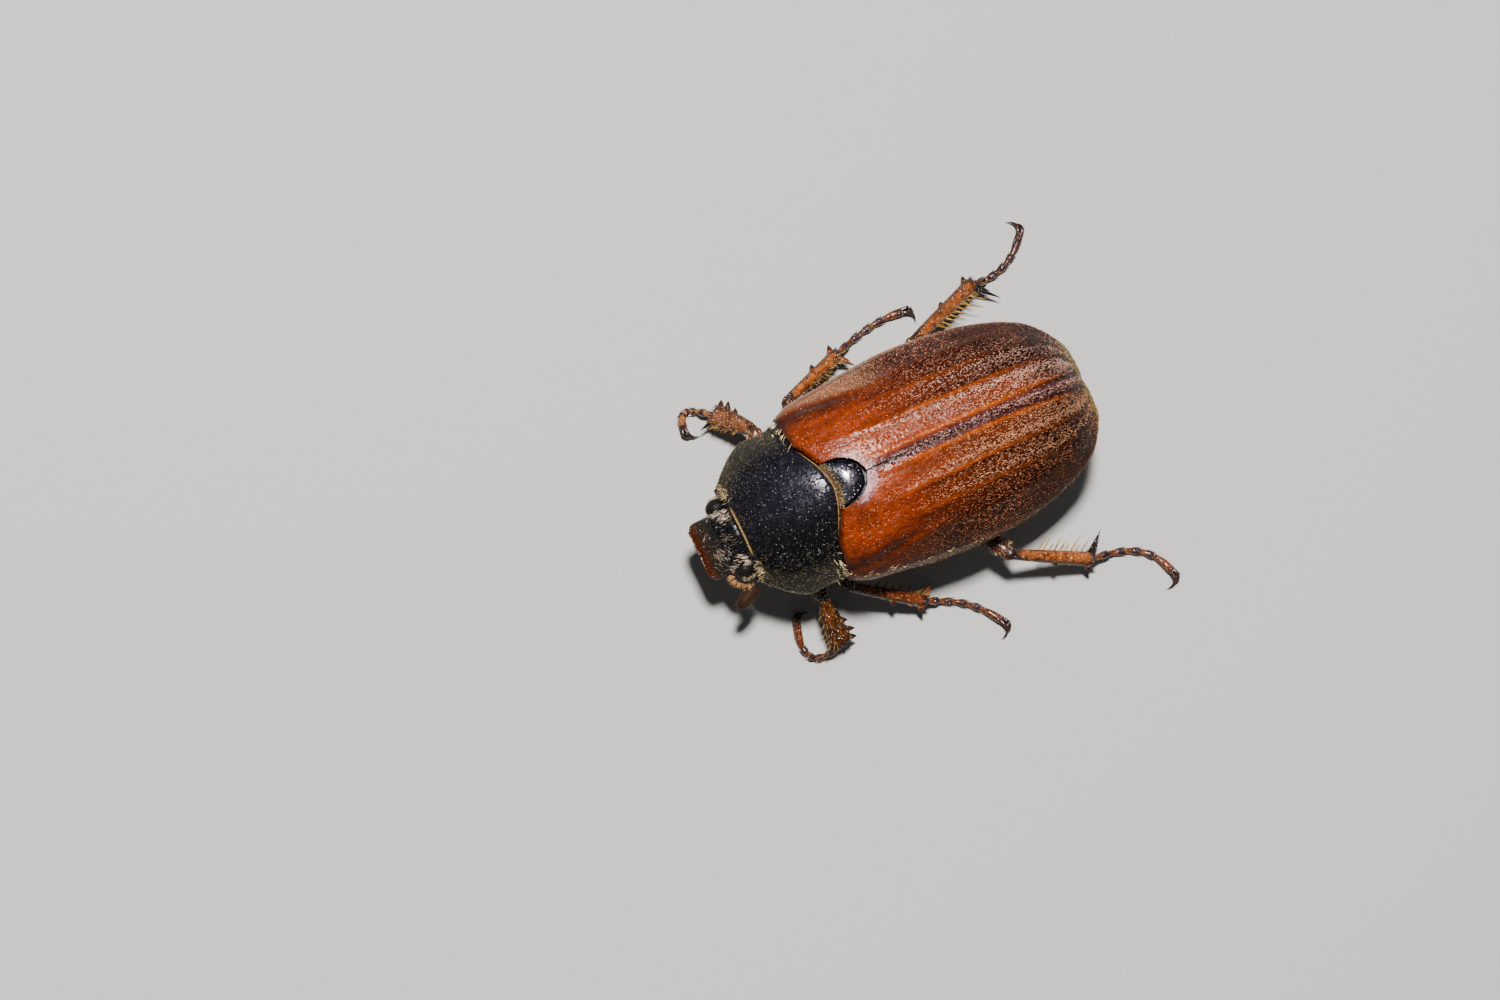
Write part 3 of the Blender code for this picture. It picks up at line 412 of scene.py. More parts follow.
def sweep(path, wide, tall, sides, up=(0, 0, 1)):
    """Rings of points along a path, from half widths and half heights."""
    path = np.asarray(path, float)
    tangent = unit(np.gradient(path, axis=0))
    side = unit(np.cross(tangent, np.asarray(up, float)))
    rise = np.cross(side, tangent)
    angle = 2 * np.pi * np.arange(sides) / sides
    wide = np.broadcast_to(wide, len(path))[:, None, None]
    tall = np.broadcast_to(tall, len(path))[:, None, None]
    return (path[:, None] + side[:, None] * np.cos(angle)[None, :, None] * wide
            + rise[:, None] * np.sin(angle)[None, :, None] * tall)


def line(points, count):
    """A smooth path through points, evenly numbered."""
    points = np.asarray(points, float)
    at = np.linspace(0, len(points) - 1, count)
    return np.stack([evenly(*points[:, axis])(at) for axis in range(3)], -1)


def egg(centre, radii, rows, columns):
    """Rings of an ellipsoid from top to bottom."""
    polar = np.linspace(0.02, np.pi - 0.02, rows)[:, None]
    turn = 2 * np.pi * np.arange(columns)[None] / columns
    ball = np.stack([np.sin(polar) * np.cos(turn), np.sin(polar) * np.sin(turn),
                     np.cos(polar) * np.ones_like(turn)], -1)
    return np.asarray(centre) + ball * np.asarray(radii)


def rounded(rings, depth, steps=5):
    """Add rings that round off both ends of a wide loft."""
    start, end = [], []
    for step in range(steps, 0, -1):
        turn = math.pi / 2 * step / steps
        for group, edge, inner in ((start, rings[0], rings[1]), (end, rings[-1], rings[-2])):
            middle = edge.mean(axis=0)
            outward = unit((middle - inner.mean(axis=0))[None])[0]
            reach = np.linalg.norm(edge - middle, axis=1, keepdims=True)
            shrink = np.maximum(1 - depth * (1 - math.cos(turn)) / reach, 0.02)
            group.append(middle + (edge - middle) * shrink + outward * depth * math.sin(turn))
    return np.concatenate([np.array(start), rings, np.array(end[::-1])])


# Hair

class Coat:
    """Closed, tapered hairs gathered into one piece, each with its own patch on its skin's unwrap."""

    SHAPE = np.array([(-1, 0, 0), (1, 0, 0), (0, 1, 0), (-1, 0, 1), (1, 0, 1), (0, 1, 1), (0, 0, 2)], float)
    FACES = np.array([(2, 1, 0), (0, 1, 4), (0, 4, 3), (1, 2, 5), (1, 5, 4), (2, 0, 3), (2, 3, 5),
                      (3, 4, 6), (4, 5, 6), (5, 3, 6)])
    CORNERS = np.array([(0, 0), (0.5, 0), (1, 0), (0, 0.5), (0.5, 0.5), (1, 0.5), (0.5, 1)])

    def __init__(self, seed):
        self.random = np.random.default_rng(seed)
        self.points, self.paint, self.patches = [], [], []

    def scatter(self, grid, count, density=1.0, wrap=False, out=(0, 0, 1)):
        """Pick places on a grid by area and density: roots, normals, down the rows, and unwrap places."""
        normals = grid_normals(grid, wrap)
        outside = grid - grid.mean(axis=1, keepdims=True) if wrap else np.asarray(out, float)
        normals = normals * np.sign(np.sum(normals * outside))
        if wrap:
            grid = np.concatenate([grid, grid[:, :1]], axis=1)
            normals = np.concatenate([normals, normals[:, :1]], axis=1)
        density = np.broadcast_to(density, (grid.shape[0], grid.shape[1] - (1 if wrap else 0)))
        if wrap:
            density = np.concatenate([density, density[:, :1]], axis=1)
        down = grid[1:, :-1] - grid[:-1, :-1]
        across = grid[:-1, 1:] - grid[:-1, :-1]
        area = np.linalg.norm(np.cross(down, across), axis=-1)
        weight = (area * (density[:-1, :-1] + density[1:, 1:])).reshape(-1)
        chosen = self.random.choice(weight.size, count, p=weight / weight.sum())
        j, i = np.divmod(chosen, grid.shape[1] - 1)
        v, u = self.random.random((2, count, 1))

        def at(values):
            return ((values[j, i] * (1 - u) + values[j, i + 1] * u) * (1 - v)
                    + (values[j + 1, i] * (1 - u) + values[j + 1, i + 1] * u) * v)
        spot = np.stack([(i + u[:, 0]) / (grid.shape[1] - 1), (j + v[:, 0]) / (grid.shape[0] - 1)], -1)
        return at(grid), unit(at(normals)), unit(down[j, i]), spot

    def grow(self, roots, normals, along, length, width, rise, colour, spots, sag=0.25, spread=0.35,
             shade=0.25):
        """Add hairs that lean along a direction, rise from the skin by an angle and sag at the tip."""
        count = len(roots)
        along = np.broadcast_to(along, roots.shape)
        along = along - normals * np.sum(along * normals, axis=1, keepdims=True)
        along = unit(along)
        sideways = np.cross(normals, along)
        turn = self.random.normal(0, spread, (count, 1))
        along = along * np.cos(turn) + sideways * np.sin(turn)
        lift = np.broadcast_to(rise, (count,))[:, None] * self.random.uniform(0.6, 1.4, (count, 1))
        heading = unit(along * np.cos(lift) + normals * np.sin(lift))
        side = unit(np.cross(heading, normals))
        upward = np.cross(side, heading)
        length = (np.broadcast_to(length, (count,)) * self.random.uniform(0.7, 1.25, count))[:, None]
        width = np.broadcast_to(width, (count,))[:, None]
        centres = np.stack([roots - normals * 0.02, roots + heading * length * 0.55,
                            roots + heading * length - normals * length * sag * np.sin(lift)], 1)
        thick = np.array([0.8, 1.0, 0.0])
        points = np.empty((count, 7, 3))
        for k, (aside, above, level) in enumerate(self.SHAPE):
            level = int(level)
            points[:, k] = (centres[:, level] + side * aside * width / 2 * thick[level]
                            + upward * (above - 0.33) * width * 0.6 * thick[level])
        tone = self.random.uniform(1 - shade, 1 + shade, (count, 1, 1))
        colour = np.broadcast_to(np.asarray(colour, float), (count, 3))[:, None]
        fade = np.array([0.75, 0.75, 0.75, 1.0, 1.0, 1.0, 1.1])[None, :, None]
        self.points.append(points)
        self.paint.append(np.clip(colour * tone * fade, 0, 0.95))
        self.patches.append(np.clip(spots, 0, 1 - PATCH)[:, None] + self.CORNERS[None] * PATCH)

    def cover(self, grid, count, density, length, width, rise, colour, along=None, wrap=False,
              out=(0, 0, 1), **manner):
        """Scatter hairs over a grid and grow them down its rows, or along the direction given."""
        roots, normals, down, spots = self.scatter(grid, count, density, wrap, out)
        self.grow(roots, normals, down if along is None else along, length, width, rise, colour, spots,
                  **manner)

    def piece(self, name, material, slot):
        """Make the piece, with the map of its hairs' patches."""
        points = np.concatenate(self.points)
        count = len(points)
        faces = (self.FACES[None] + 7 * np.arange(count)[:, None, None]).reshape(-1, 3)
        mesh = build_mesh(name, points.reshape(-1, 3), np.empty((0, 4), int), faces,
                          np.concatenate(self.paint).reshape(-1, 3))
        layer = mesh.uv_layers.new(name="OFBake")
        layer.data.foreach_set("uv", np.concatenate(self.patches).reshape(-1, 2)[faces.reshape(-1)]
                               .astype(np.float32).reshape(-1))
        return finish_piece(name, mesh, material, sharp=0)


# Materials

def material(name, roughness, grain=0.2, grain_size=0.25, pits=0.0, pit_size=0.12, ripple=0.3, coat=0.0,
             under=0.0, specular=0.5, wear=0.08, streak=0.0, gleam=(1, 1, 1, 1)):
    """Insect shell: painted colour broken up by grain and lengthwise streaks, with pits and ripples.

    The paint's fourth value is its gloss: dull at 0, the material's own at 1, and with fainter pits up to 2.
    """
    made = bpy.data.materials.new(name)
    made.use_nodes = True
    nodes, links = made.node_tree.nodes, made.node_tree.links
    shader = nodes["Principled BSDF"]
    where = nodes.new("ShaderNodeTexCoord")
    paint = nodes.new("ShaderNodeAttribute")
    paint.attribute_name = "paint"

    def noise(size, detail, lengthwise=1.0):
        stretch = nodes.new("ShaderNodeVectorMath")
        stretch.operation = "MULTIPLY"
        stretch.inputs[1].default_value = (1.0, 1 / lengthwise, 1.0)
        links.new(where.outputs["Object"], stretch.inputs[0])
        made_noise = nodes.new("ShaderNodeTexNoise")
        made_noise.inputs["Scale"].default_value = 1 / (size * MM)
        made_noise.inputs["Detail"].default_value = detail
        links.new(stretch.outputs["Vector"], made_noise.inputs["Vector"])
        return made_noise.outputs["Fac"]

    def spread(source, low, high, start=0.3, end=0.7):
        ranged = nodes.new("ShaderNodeMapRange")
        ranged.inputs["From Min"].default_value = start
        ranged.inputs["From Max"].default_value = end
        ranged.inputs["To Min"].default_value = low
        ranged.inputs["To Max"].default_value = high
        links.new(source, ranged.inputs["Value"])
        return ranged.outputs["Result"]

    vary = nodes.new("ShaderNodeVectorMath")
    vary.operation = "SCALE"
    links.new(paint.outputs["Color"], vary.inputs[0])
    links.new(spread(noise(grain_size, 3), 1 - grain, 1 + grain), vary.inputs["Scale"])
    lines = nodes.new("ShaderNodeVectorMath")
    lines.operation = "SCALE"
    links.new(vary.outputs["Vector"], lines.inputs[0])
    links.new(spread(noise(0.3, 3, 9.0), 1 - streak, 1 + streak), lines.inputs["Scale"])
    links.new(lines.outputs["Vector"], shader.inputs["Base Color"])
    dull = nodes.new("ShaderNodeMath")
    dull.operation = "ADD"
    links.new(spread(noise(grain_size * 2.3, 2), roughness - wear, roughness + wear), dull.inputs[0])
    links.new(spread(paint.outputs["Alpha"], 0.5, 0.0, 0.0, 1.0), dull.inputs[1])
    links.new(dull.outputs["Value"], shader.inputs["Roughness"])

    height = noise(grain_size * 0.8, 3)
    bump = nodes.new("ShaderNodeBump")
    bump.inputs["Strength"].default_value = ripple
    bump.inputs["Distance"].default_value = 0.03 * MM
    links.new(height, bump.inputs["Height"])
    top = bump
    if pits:
        cells = nodes.new("ShaderNodeTexVoronoi")
        cells.inputs["Scale"].default_value = 1 / (pit_size * MM)
        links.new(where.outputs["Object"], cells.inputs["Vector"])
        pit = nodes.new("ShaderNodeBump")
        links.new(spread(paint.outputs["Alpha"], pits, 0.3 * pits, 1.0, 2.0), pit.inputs["Strength"])
        pit.inputs["Distance"].default_value = 0.05 * MM
        links.new(spread(cells.outputs["Distance"], 0, 1, 0.12, 0.45), pit.inputs["Height"])
        links.new(bump.outputs["Normal"], pit.inputs["Normal"])
        top = pit
    links.new(top.outputs["Normal"], shader.inputs["Normal"])
    shader.inputs["Specular IOR Level"].default_value = specular
    shader.inputs["Specular Tint"].default_value = gleam
    shader.inputs["Coat Weight"].default_value = coat
    shader.inputs["Coat Roughness"].default_value = 0.12
    if under:
        shader.inputs["Subsurface Weight"].default_value = under
        shader.inputs["Subsurface Radius"].default_value = (0.9, 0.3, 0.12)
        shader.inputs["Subsurface Scale"].default_value = 0.5 * MM
    return made


SHELL = material("wing_case_shell", 0.25, grain=0.3, grain_size=0.3, pits=0.9, pit_size=0.2, ripple=1.0,
                 under=0.1, specular=0.155, streak=0.35, gleam=(1, 0.68, 0.62, 1))
SHIELD = material("front_shell", 0.26, grain=0.3, grain_size=0.2, pits=1.0, pit_size=0.16, ripple=0.35,
                  specular=0.22, gleam=(0.92, 0.86, 1, 1))
SCUTELLUM_SHELL = material("scutellum_shell", 0.25, grain=0.3, grain_size=0.2, pits=0.9, pit_size=0.2,
                           ripple=0.5, coat=0.8, specular=0.9, gleam=(0.92, 0.85, 1, 1))
HEAD_SHELL = material("head_shell", 0.22, grain=0.3, grain_size=0.2, pits=1.0, pit_size=0.17, ripple=0.5,
                      specular=0.15)
BELLY_SHELL = material("belly_shell", 0.4, grain=0.3, grain_size=0.25, pits=0.5, pit_size=0.22, ripple=0.5,
                       specular=0.25)
LEG_SHELL = material("leg_shell", 0.25, grain=0.7, grain_size=0.3, pits=0.9, pit_size=0.2, ripple=1.0,
                     under=0.08, specular=0.4, streak=0.35)
EYE_SHELL = material("eye_shell", 0.5, grain=0.15, grain_size=0.1, pits=0.9, pit_size=0.1, ripple=0.2,
                     specular=0.12)
FEELER_SHELL = material("feeler_shell", 0.55, grain=0.25, grain_size=0.12, ripple=0.5, specular=0.15)
HAIR = material("hair", 0.45, grain=0.12, grain_size=0.3, ripple=0.1, specular=0.15)


# Wing cases

def scutellum_edge(y, room=0.0):
    """Half width of the small shield between the wing cases' roots, at a distance behind the pronotum."""
    run = np.clip((y - SCUTELLUM_FRONT) / (SCUTELLUM_END + room - SCUTELLUM_FRONT), 0, 1)
    return (SCUTELLUM_HALF_WIDTH + room) * np.sqrt(1 - run * run)


def back_height(x, y):
    """Height of the smooth back, from the distance to the middle and behind the pronotum."""
    across, upward = ELYTRA_ARCH
    share = np.clip(x / ELYTRA_WIDTH(y), 0, 1)
    return ELYTRA_MARGIN(y) + (ELYTRA_RIDGE(y) - ELYTRA_MARGIN(y)) * (1 - share ** across) ** (1 / upward)


def rib_distances(x, y):
    """Signed distance of every point to each rib's line, positive outside it."""
    return [x - shares(y) * ELYTRA_WIDTH(y) for shares, _, _ in RIBS]


def wing_case_relief(x, y, side):
    """Height of the ribs, the shoulder, the crease and the margin's bead over the smooth back."""
    raised = 0.0
    for away, (_, height, end) in zip(rib_distances(x, y), RIBS):
        fade = ease(end - y, 0, 2.0) * ease(y, -0.5, 5.0)
        raised = raised + 0.55 * (height * fade) * hump(away, 0.2)
    bump_x, bump_y, radius, height = SHOULDER_BUMP
    raised = raised + height * hump(np.hypot(x - bump_x, y - bump_y), radius)
    raised = raised - 0.09 * hump(x - CREASE(y), 0.22) * ease(y, -0.6, 1.0) * ease(7.0 - y, 0, 2.5)
    raised = raised + 0.05 * hump(ELYTRA_WIDTH(y) - x, 0.12)
    raised = raised - 0.07 * (1 - np.exp(-x / 0.8)) * ease(5.0 - y, 0, 3)
    if side > 0:
        raised = raised - 0.19 * hump(np.hypot(x - 0.05, 0.75 * (y - 2.2)), 0.8)
    waves = np.sin(1.9 * y + 0.8 * x) * np.sin(2.3 * x - 0.5 * y) * 0.012
    return raised + waves


def wing_case_grid(rows=210, columns=130):
    """Left wing case: places (x, y) from the suture to the margin, and its front and its end at each."""
    run = np.linspace(0, 1, rows)[:, None]
    over = 1 - (1 - np.linspace(0, 1, columns)[None]) ** 1.7
    y = 0.05 + run * ELYTRA_END * np.ones_like(over)
    for _ in range(8):
        inner = np.maximum(np.where(y < SCUTELLUM_END + 0.06, scutellum_edge(y, 0.06), 0.0), 0.03)
        x = inner + (ELYTRA_WIDTH(y) - inner) * over
        front = REAR_MARGIN(x) + 0.1
        end = ELYTRA_END - 0.12 * hump(x, 0.35) - 0.02 * (x / 1.9) ** 2
        y = front + run * (end - front)
    return x, y, front, end


def shield_end_highlight(x, y):
    """Where the painted highlight, a pale lilac sheen, hugs the end of the small shield."""
    away = np.hypot(x / SCUTELLUM_HALF_WIDTH, (y - SCUTELLUM_FRONT) / (SCUTELLUM_END - SCUTELLUM_FRONT))
    return hump(away - 1.12, 0.19) * ease(y, 0.6, 1.5)


def wing_case_paint(x, y, front, end, side):
    """Colour and gloss of one wing case, a little different on each side, with painted highlights and painted
    shade.
    """
    left = side > 0
    share = x / ELYTRA_WIDTH(y)
    tint = mix(ORANGE_RED, BROWN, ease(y, 2.0, 9.5))
    tint = mix(tint, DARK_BROWN, ease(y + 2.5 * share, 8.5, 15.5))
    tint = mix(tint, DARK_BROWN if left else PURPLE_BROWN, ease(share, 0.55, 0.9) * ease(y, 1.5, 8))
    tint = tint * (1 - 0.24 * ease(x, 2.0, 5.0) * ease(y, 3, 6))[..., None]
    # A lighter band beside the suture, partly a painted highlight: brighter toward the front and on the right
    inner = ease(2.3 - x, 0, 0.8) * ease(y, 1.2, 2.5) * ease(16 - y, 0, 4)
    tint = mix(tint, SALMON_BAND_AND_HIGHLIGHT, ((0.12 if left else 0.28) + 0.2 * ease(5 - y, 0, 2)) * inner)
    # Painted highlight: pale lilac round the end of the small shield, stronger on the left
    tint = mix(tint, HIGHLIGHT_LILAC, (0.75 if left else 0.4) * shield_end_highlight(x, y))
    # Orange ribs, with a dark line outside each but the first
    for index, away in enumerate(rib_distances(x, y)):
        strong = RIB_STRENGTHS[index] * ease(y, 1.5, 8) * ease(16.8 - y, 0, 2.5)
        strong = strong * (1 - 0.55 * ease(y, 8, 14) * (index > 0))
        tint = mix(tint, mix(ORANGE, BROWN, 0.5 * ease(y, 10, 16)), hump(away, 0.105) * strong)
        tint = mix(tint, DARK_BROWN, hump(away - 0.3, 0.11) * 0.5 * ease(y, 2, 6) * (index > 0))
    # Painted shade: brown on the outer side of the shoulder. Brown also on the left in a spot beside the small
    # shield
    tint = mix(tint, BROWN, 0.85 * hump(x - 4.7, 0.55) * ease(3.8 - y, 0, 1.8))
    if left:
        tint = mix(tint, BROWN, 0.6 * hump(np.hypot(x - 2.3, 1.2 * (y - 0.9)), 0.75))
    # The suture's band and the line in it
    tint = mix(tint, PURPLE if left else SUTURE_BROWN, ease(0.36 - x, -0.05, 0.1) * ease(y, 1.8, 3.2))
    tint = mix(tint, SUTURE_LINE, ease(0.09 - x, 0, 0.06) * ease(y, 1.8, 3.0))
    # Painted shade along the crease, and the colour of what lies outside it
    tint = mix(tint, DARK_BROWN, 0.6 * hump(x - CREASE(y) + 0.15, 0.35) * ease(6 - y, 0, 3))
    outside = ease(x - CREASE(y), 0.1, 0.5)
    if left:
        tint = mix(tint, DARK_BROWN, 0.5 * outside)
    else:
        tint = mix(tint, TAN, 0.35 * outside * ease(6.5 - y, 0, 3.5))
    # A painted highlight on the margin's bead, then the front edge and the end
    tint = mix(tint, MARGIN_BEAD_HIGHLIGHT, 0.6 * ease(share, 0.97, 0.985) * ease(13 - y, 0, 3))
    tint = mix(tint, DARK_BROWN, 0.6 * ease(0.3 - (y - front), 0, 0.25))
    tint = mix(tint, END_GOLD, 0.75 * ease(0.13 - (end - y), 0, 0.08))
    gloss = 1 - 0.8 * ease(share, 0.7, 0.95) * (1 - ease(share, 0.965, 0.98))
    gloss = gloss + ease(3.6 - y, 0, 2.2) * ease(3.6 - x, 0, 1.5)
    return np.concatenate([tint, gloss[..., None]], -1)


def wing_case_down(x, y, side):
    """How close the hair stands: in bands on the inner side of each rib, and closer toward the end."""
    share = x / ELYTRA_WIDTH(y)
    dense = 0.08 + 0.55 * ease(y, 3, 9) + 0.25 * ease(y, 9, 15)
    for away, (bare, band) in zip(rib_distances(x, y)[1:], RIB_DOWN):
        dense = dense * (1 - bare * hump(away - 0.03, 0.16)) + band * hump(away + 0.36, 0.2) * ease(y, 1, 5)
    dense = dense * (1 - 0.95 * hump(x - 0.42, 0.26) * ease(y, 2, 3))
    dense = dense + (0.5 if side > 0 else 1.0) * hump(x - 0.05, 0.07) * ease(y, 2.2, 5)
    dense = dense * (1 - 0.25 * ease(share, 0.6, 0.9) * ease(y, 6, 10))
    dense = dense * (1 - 0.92 * hump(np.hypot((x - 3.3) / 1.2, (y - 15.4) / 0.9), 1.0))
    fuzz = ease(x - CREASE(y), 0.15, 0.5) * ease(6.8 - y, 0, 3) * (share < 0.95)
    dense = dense + (0.2 * ease(y, 2.5, 4) if side > 0 else 1.0) * fuzz
    return dense + 0.8 * ease(y, 16.8, 17.3) * (x < 2.6)


def wing_case_hair_colour(x, y, side, random):
    """Pale hairs beside the suture and the second and third ribs, pinkish brown ones elsewhere."""
    pale = 0.15 + 0.15 * ease(y, 4, 9) + 0.3 * hump(x - 0.05, 0.1)
    for away in rib_distances(x, y)[1:3]:
        pale = pale + 0.5 * hump(away + 0.4, 0.3)
    pale = pale + 0.4 * ease(y, 5, 8) * ease(1.9 - x, 0, 0.5) - 0.35 * ease(x, 2.5, 5)
    colour = mix(HAIR_PINK, HAIR_WHITE, np.clip(pale + random.normal(0, 0.3, len(x)), 0, 1))
    flank = ease(x - CREASE(y), 0.1, 0.4) * ease(6.8 - y, 0, 2)
    colour = mix(colour, FLANK_HAIR[side], 0.8 * flank)
    # The left side's hair is darker, as painted shade
    colour = mix(colour, END_HAIR, ease(y, 16.6, 17.2)) * SIDE_HAIR_SHADE[side]
    colour = colour * (1 - 0.42 * ease(y, 8.5 + 3 * ease(2.2 - x, 0, 0.6), 14.5))[:, None]
    return colour * (1 - 0.4 * ease(x, 3.6, 4.8) * ease(y, 9, 12))[:, None]


def wing_case(word, side):
    """One wing case and its coat, which frays the hind edge."""
    x, y, front, end = wing_case_grid()
    z = back_height(x, y)
    smooth = np.stack([x, y, z], -1)
    outward = grid_normals(smooth)
    for edge in (y - front, end - y):
        near = 1 - np.clip(edge / CASE_EDGE, 0, 1)
        z = z - CASE_DROP * (1 - np.sqrt(1 - near * near * 0.999))
    mirror = np.array([side, 1, 1])
    upper = np.stack([x, y, z], -1) + outward * wing_case_relief(x, y, side)[..., None]
    lower = smooth - outward * CASE_THICKNESS
    lower[..., 0] = np.maximum(lower[..., 0], 0.03)
    skin = lean(upper * mirror)
    shell = Solid().plate(skin, lean(lower * mirror), wing_case_paint(x, y, front, end, side), DARK_BROWN)
    shell.piece("wing_case_" + word, SHELL, "wing_case", ["elytron_" + word])

    coat = Coat(11 if side > 0 else 12)
    roots, normals, down, spots = coat.scatter(skin, 8500, wing_case_down(x, y, side))
    root_y = roots[:, 1]
    root_x = side * (roots[:, 0] - LEAN * root_y)
    colour = wing_case_hair_colour(root_x, root_y, side, coat.random)
    length = 0.135 + 0.02 * ease(root_y, 8, 16) + 0.1 * ease(root_y, 16.6, 17.2)
    coat.grow(roots, normals, down, length, 0.032, 0.22, colour, spots, spread=0.35, shade=0.6)
    # Pale lilac hairs add to the painted highlight round the end of the small shield
    coat.cover(skin, 150, shield_end_highlight(x, y) + 1e-6, 0.12, 0.034, 0.15, HIGHLIGHT_HAIR, shade=0.5)
    margin = (x / ELYTRA_WIDTH(y) > 0.996) * ease(y, 2, 5) + 1e-6
    roots, normals, down, spots = coat.scatter(skin, 150, margin)
    outward_down = down + np.array([side * 1.5, 0, -0.3])
    coat.grow(roots, normals, outward_down, 0.34, 0.026, 0.2, HAIR_GOLD, spots, spread=0.35)
    coat.piece("wing_case_hair_" + word, HAIR, "wing_case")


for side_word, side_sign in SIDES:
    wing_case(side_word, side_sign)


def scutellum():
    """The small blue-black shield between the wing cases' roots, with hair along its base."""
    run = np.linspace(0, 1, 50)[:, None]
    share = np.sin(np.linspace(-1, 1, 61) * np.pi / 2)[None]
    half = SCUTELLUM_HALF_WIDTH * np.sqrt(1 - (run * 0.995) ** 2)
    x = share * half
    front = REAR_MARGIN(np.abs(x)) + 0.08
    y = front + run * (SCUTELLUM_END - front)
    dome = (1 - share ** 2) * (1 - 0.9 * (2 * run - 0.95) ** 2)
    near = 1 - np.clip((1 - np.abs(share)) * half / 0.16, 0, 1)
    edge = 1 - np.clip((1 - run) * 1.6 / 0.16, 0, 1)
    z = SCUTELLUM_TOP - 0.38 + 0.13 * (y - 1.0) + 0.40 * dome ** 0.62 - 0.05 * np.maximum(near, edge) ** 2
    upper = lean(np.stack([x, y, z], -1))
    lower = upper * (1, 1, 0) + (0, 0, SCUTELLUM_TOP - 0.75)
    tint = mix(BLUE_BLACK, SCUTELLUM_BASE, 0.6 * ease(0.12 - (y - front), 0, 0.1))
    shell = Solid().plate(upper, lower, tint, BLACK)
    shell.piece("scutellum_shell", SCUTELLUM_SHELL, "body_shell", ["scutellum"])
    coat = Coat(21)
    base = 0.01 + 2.5 * ease(0.3 - (y - front), 0, 0.25)
    coat.cover(upper, 150, base, 0.28, 0.028, 0.3, SCUTELLUM_HAIR, shade=0.5)
    coat.piece("scutellum_hair", HAIR, "body_shell")


scutellum()


# Front of the body

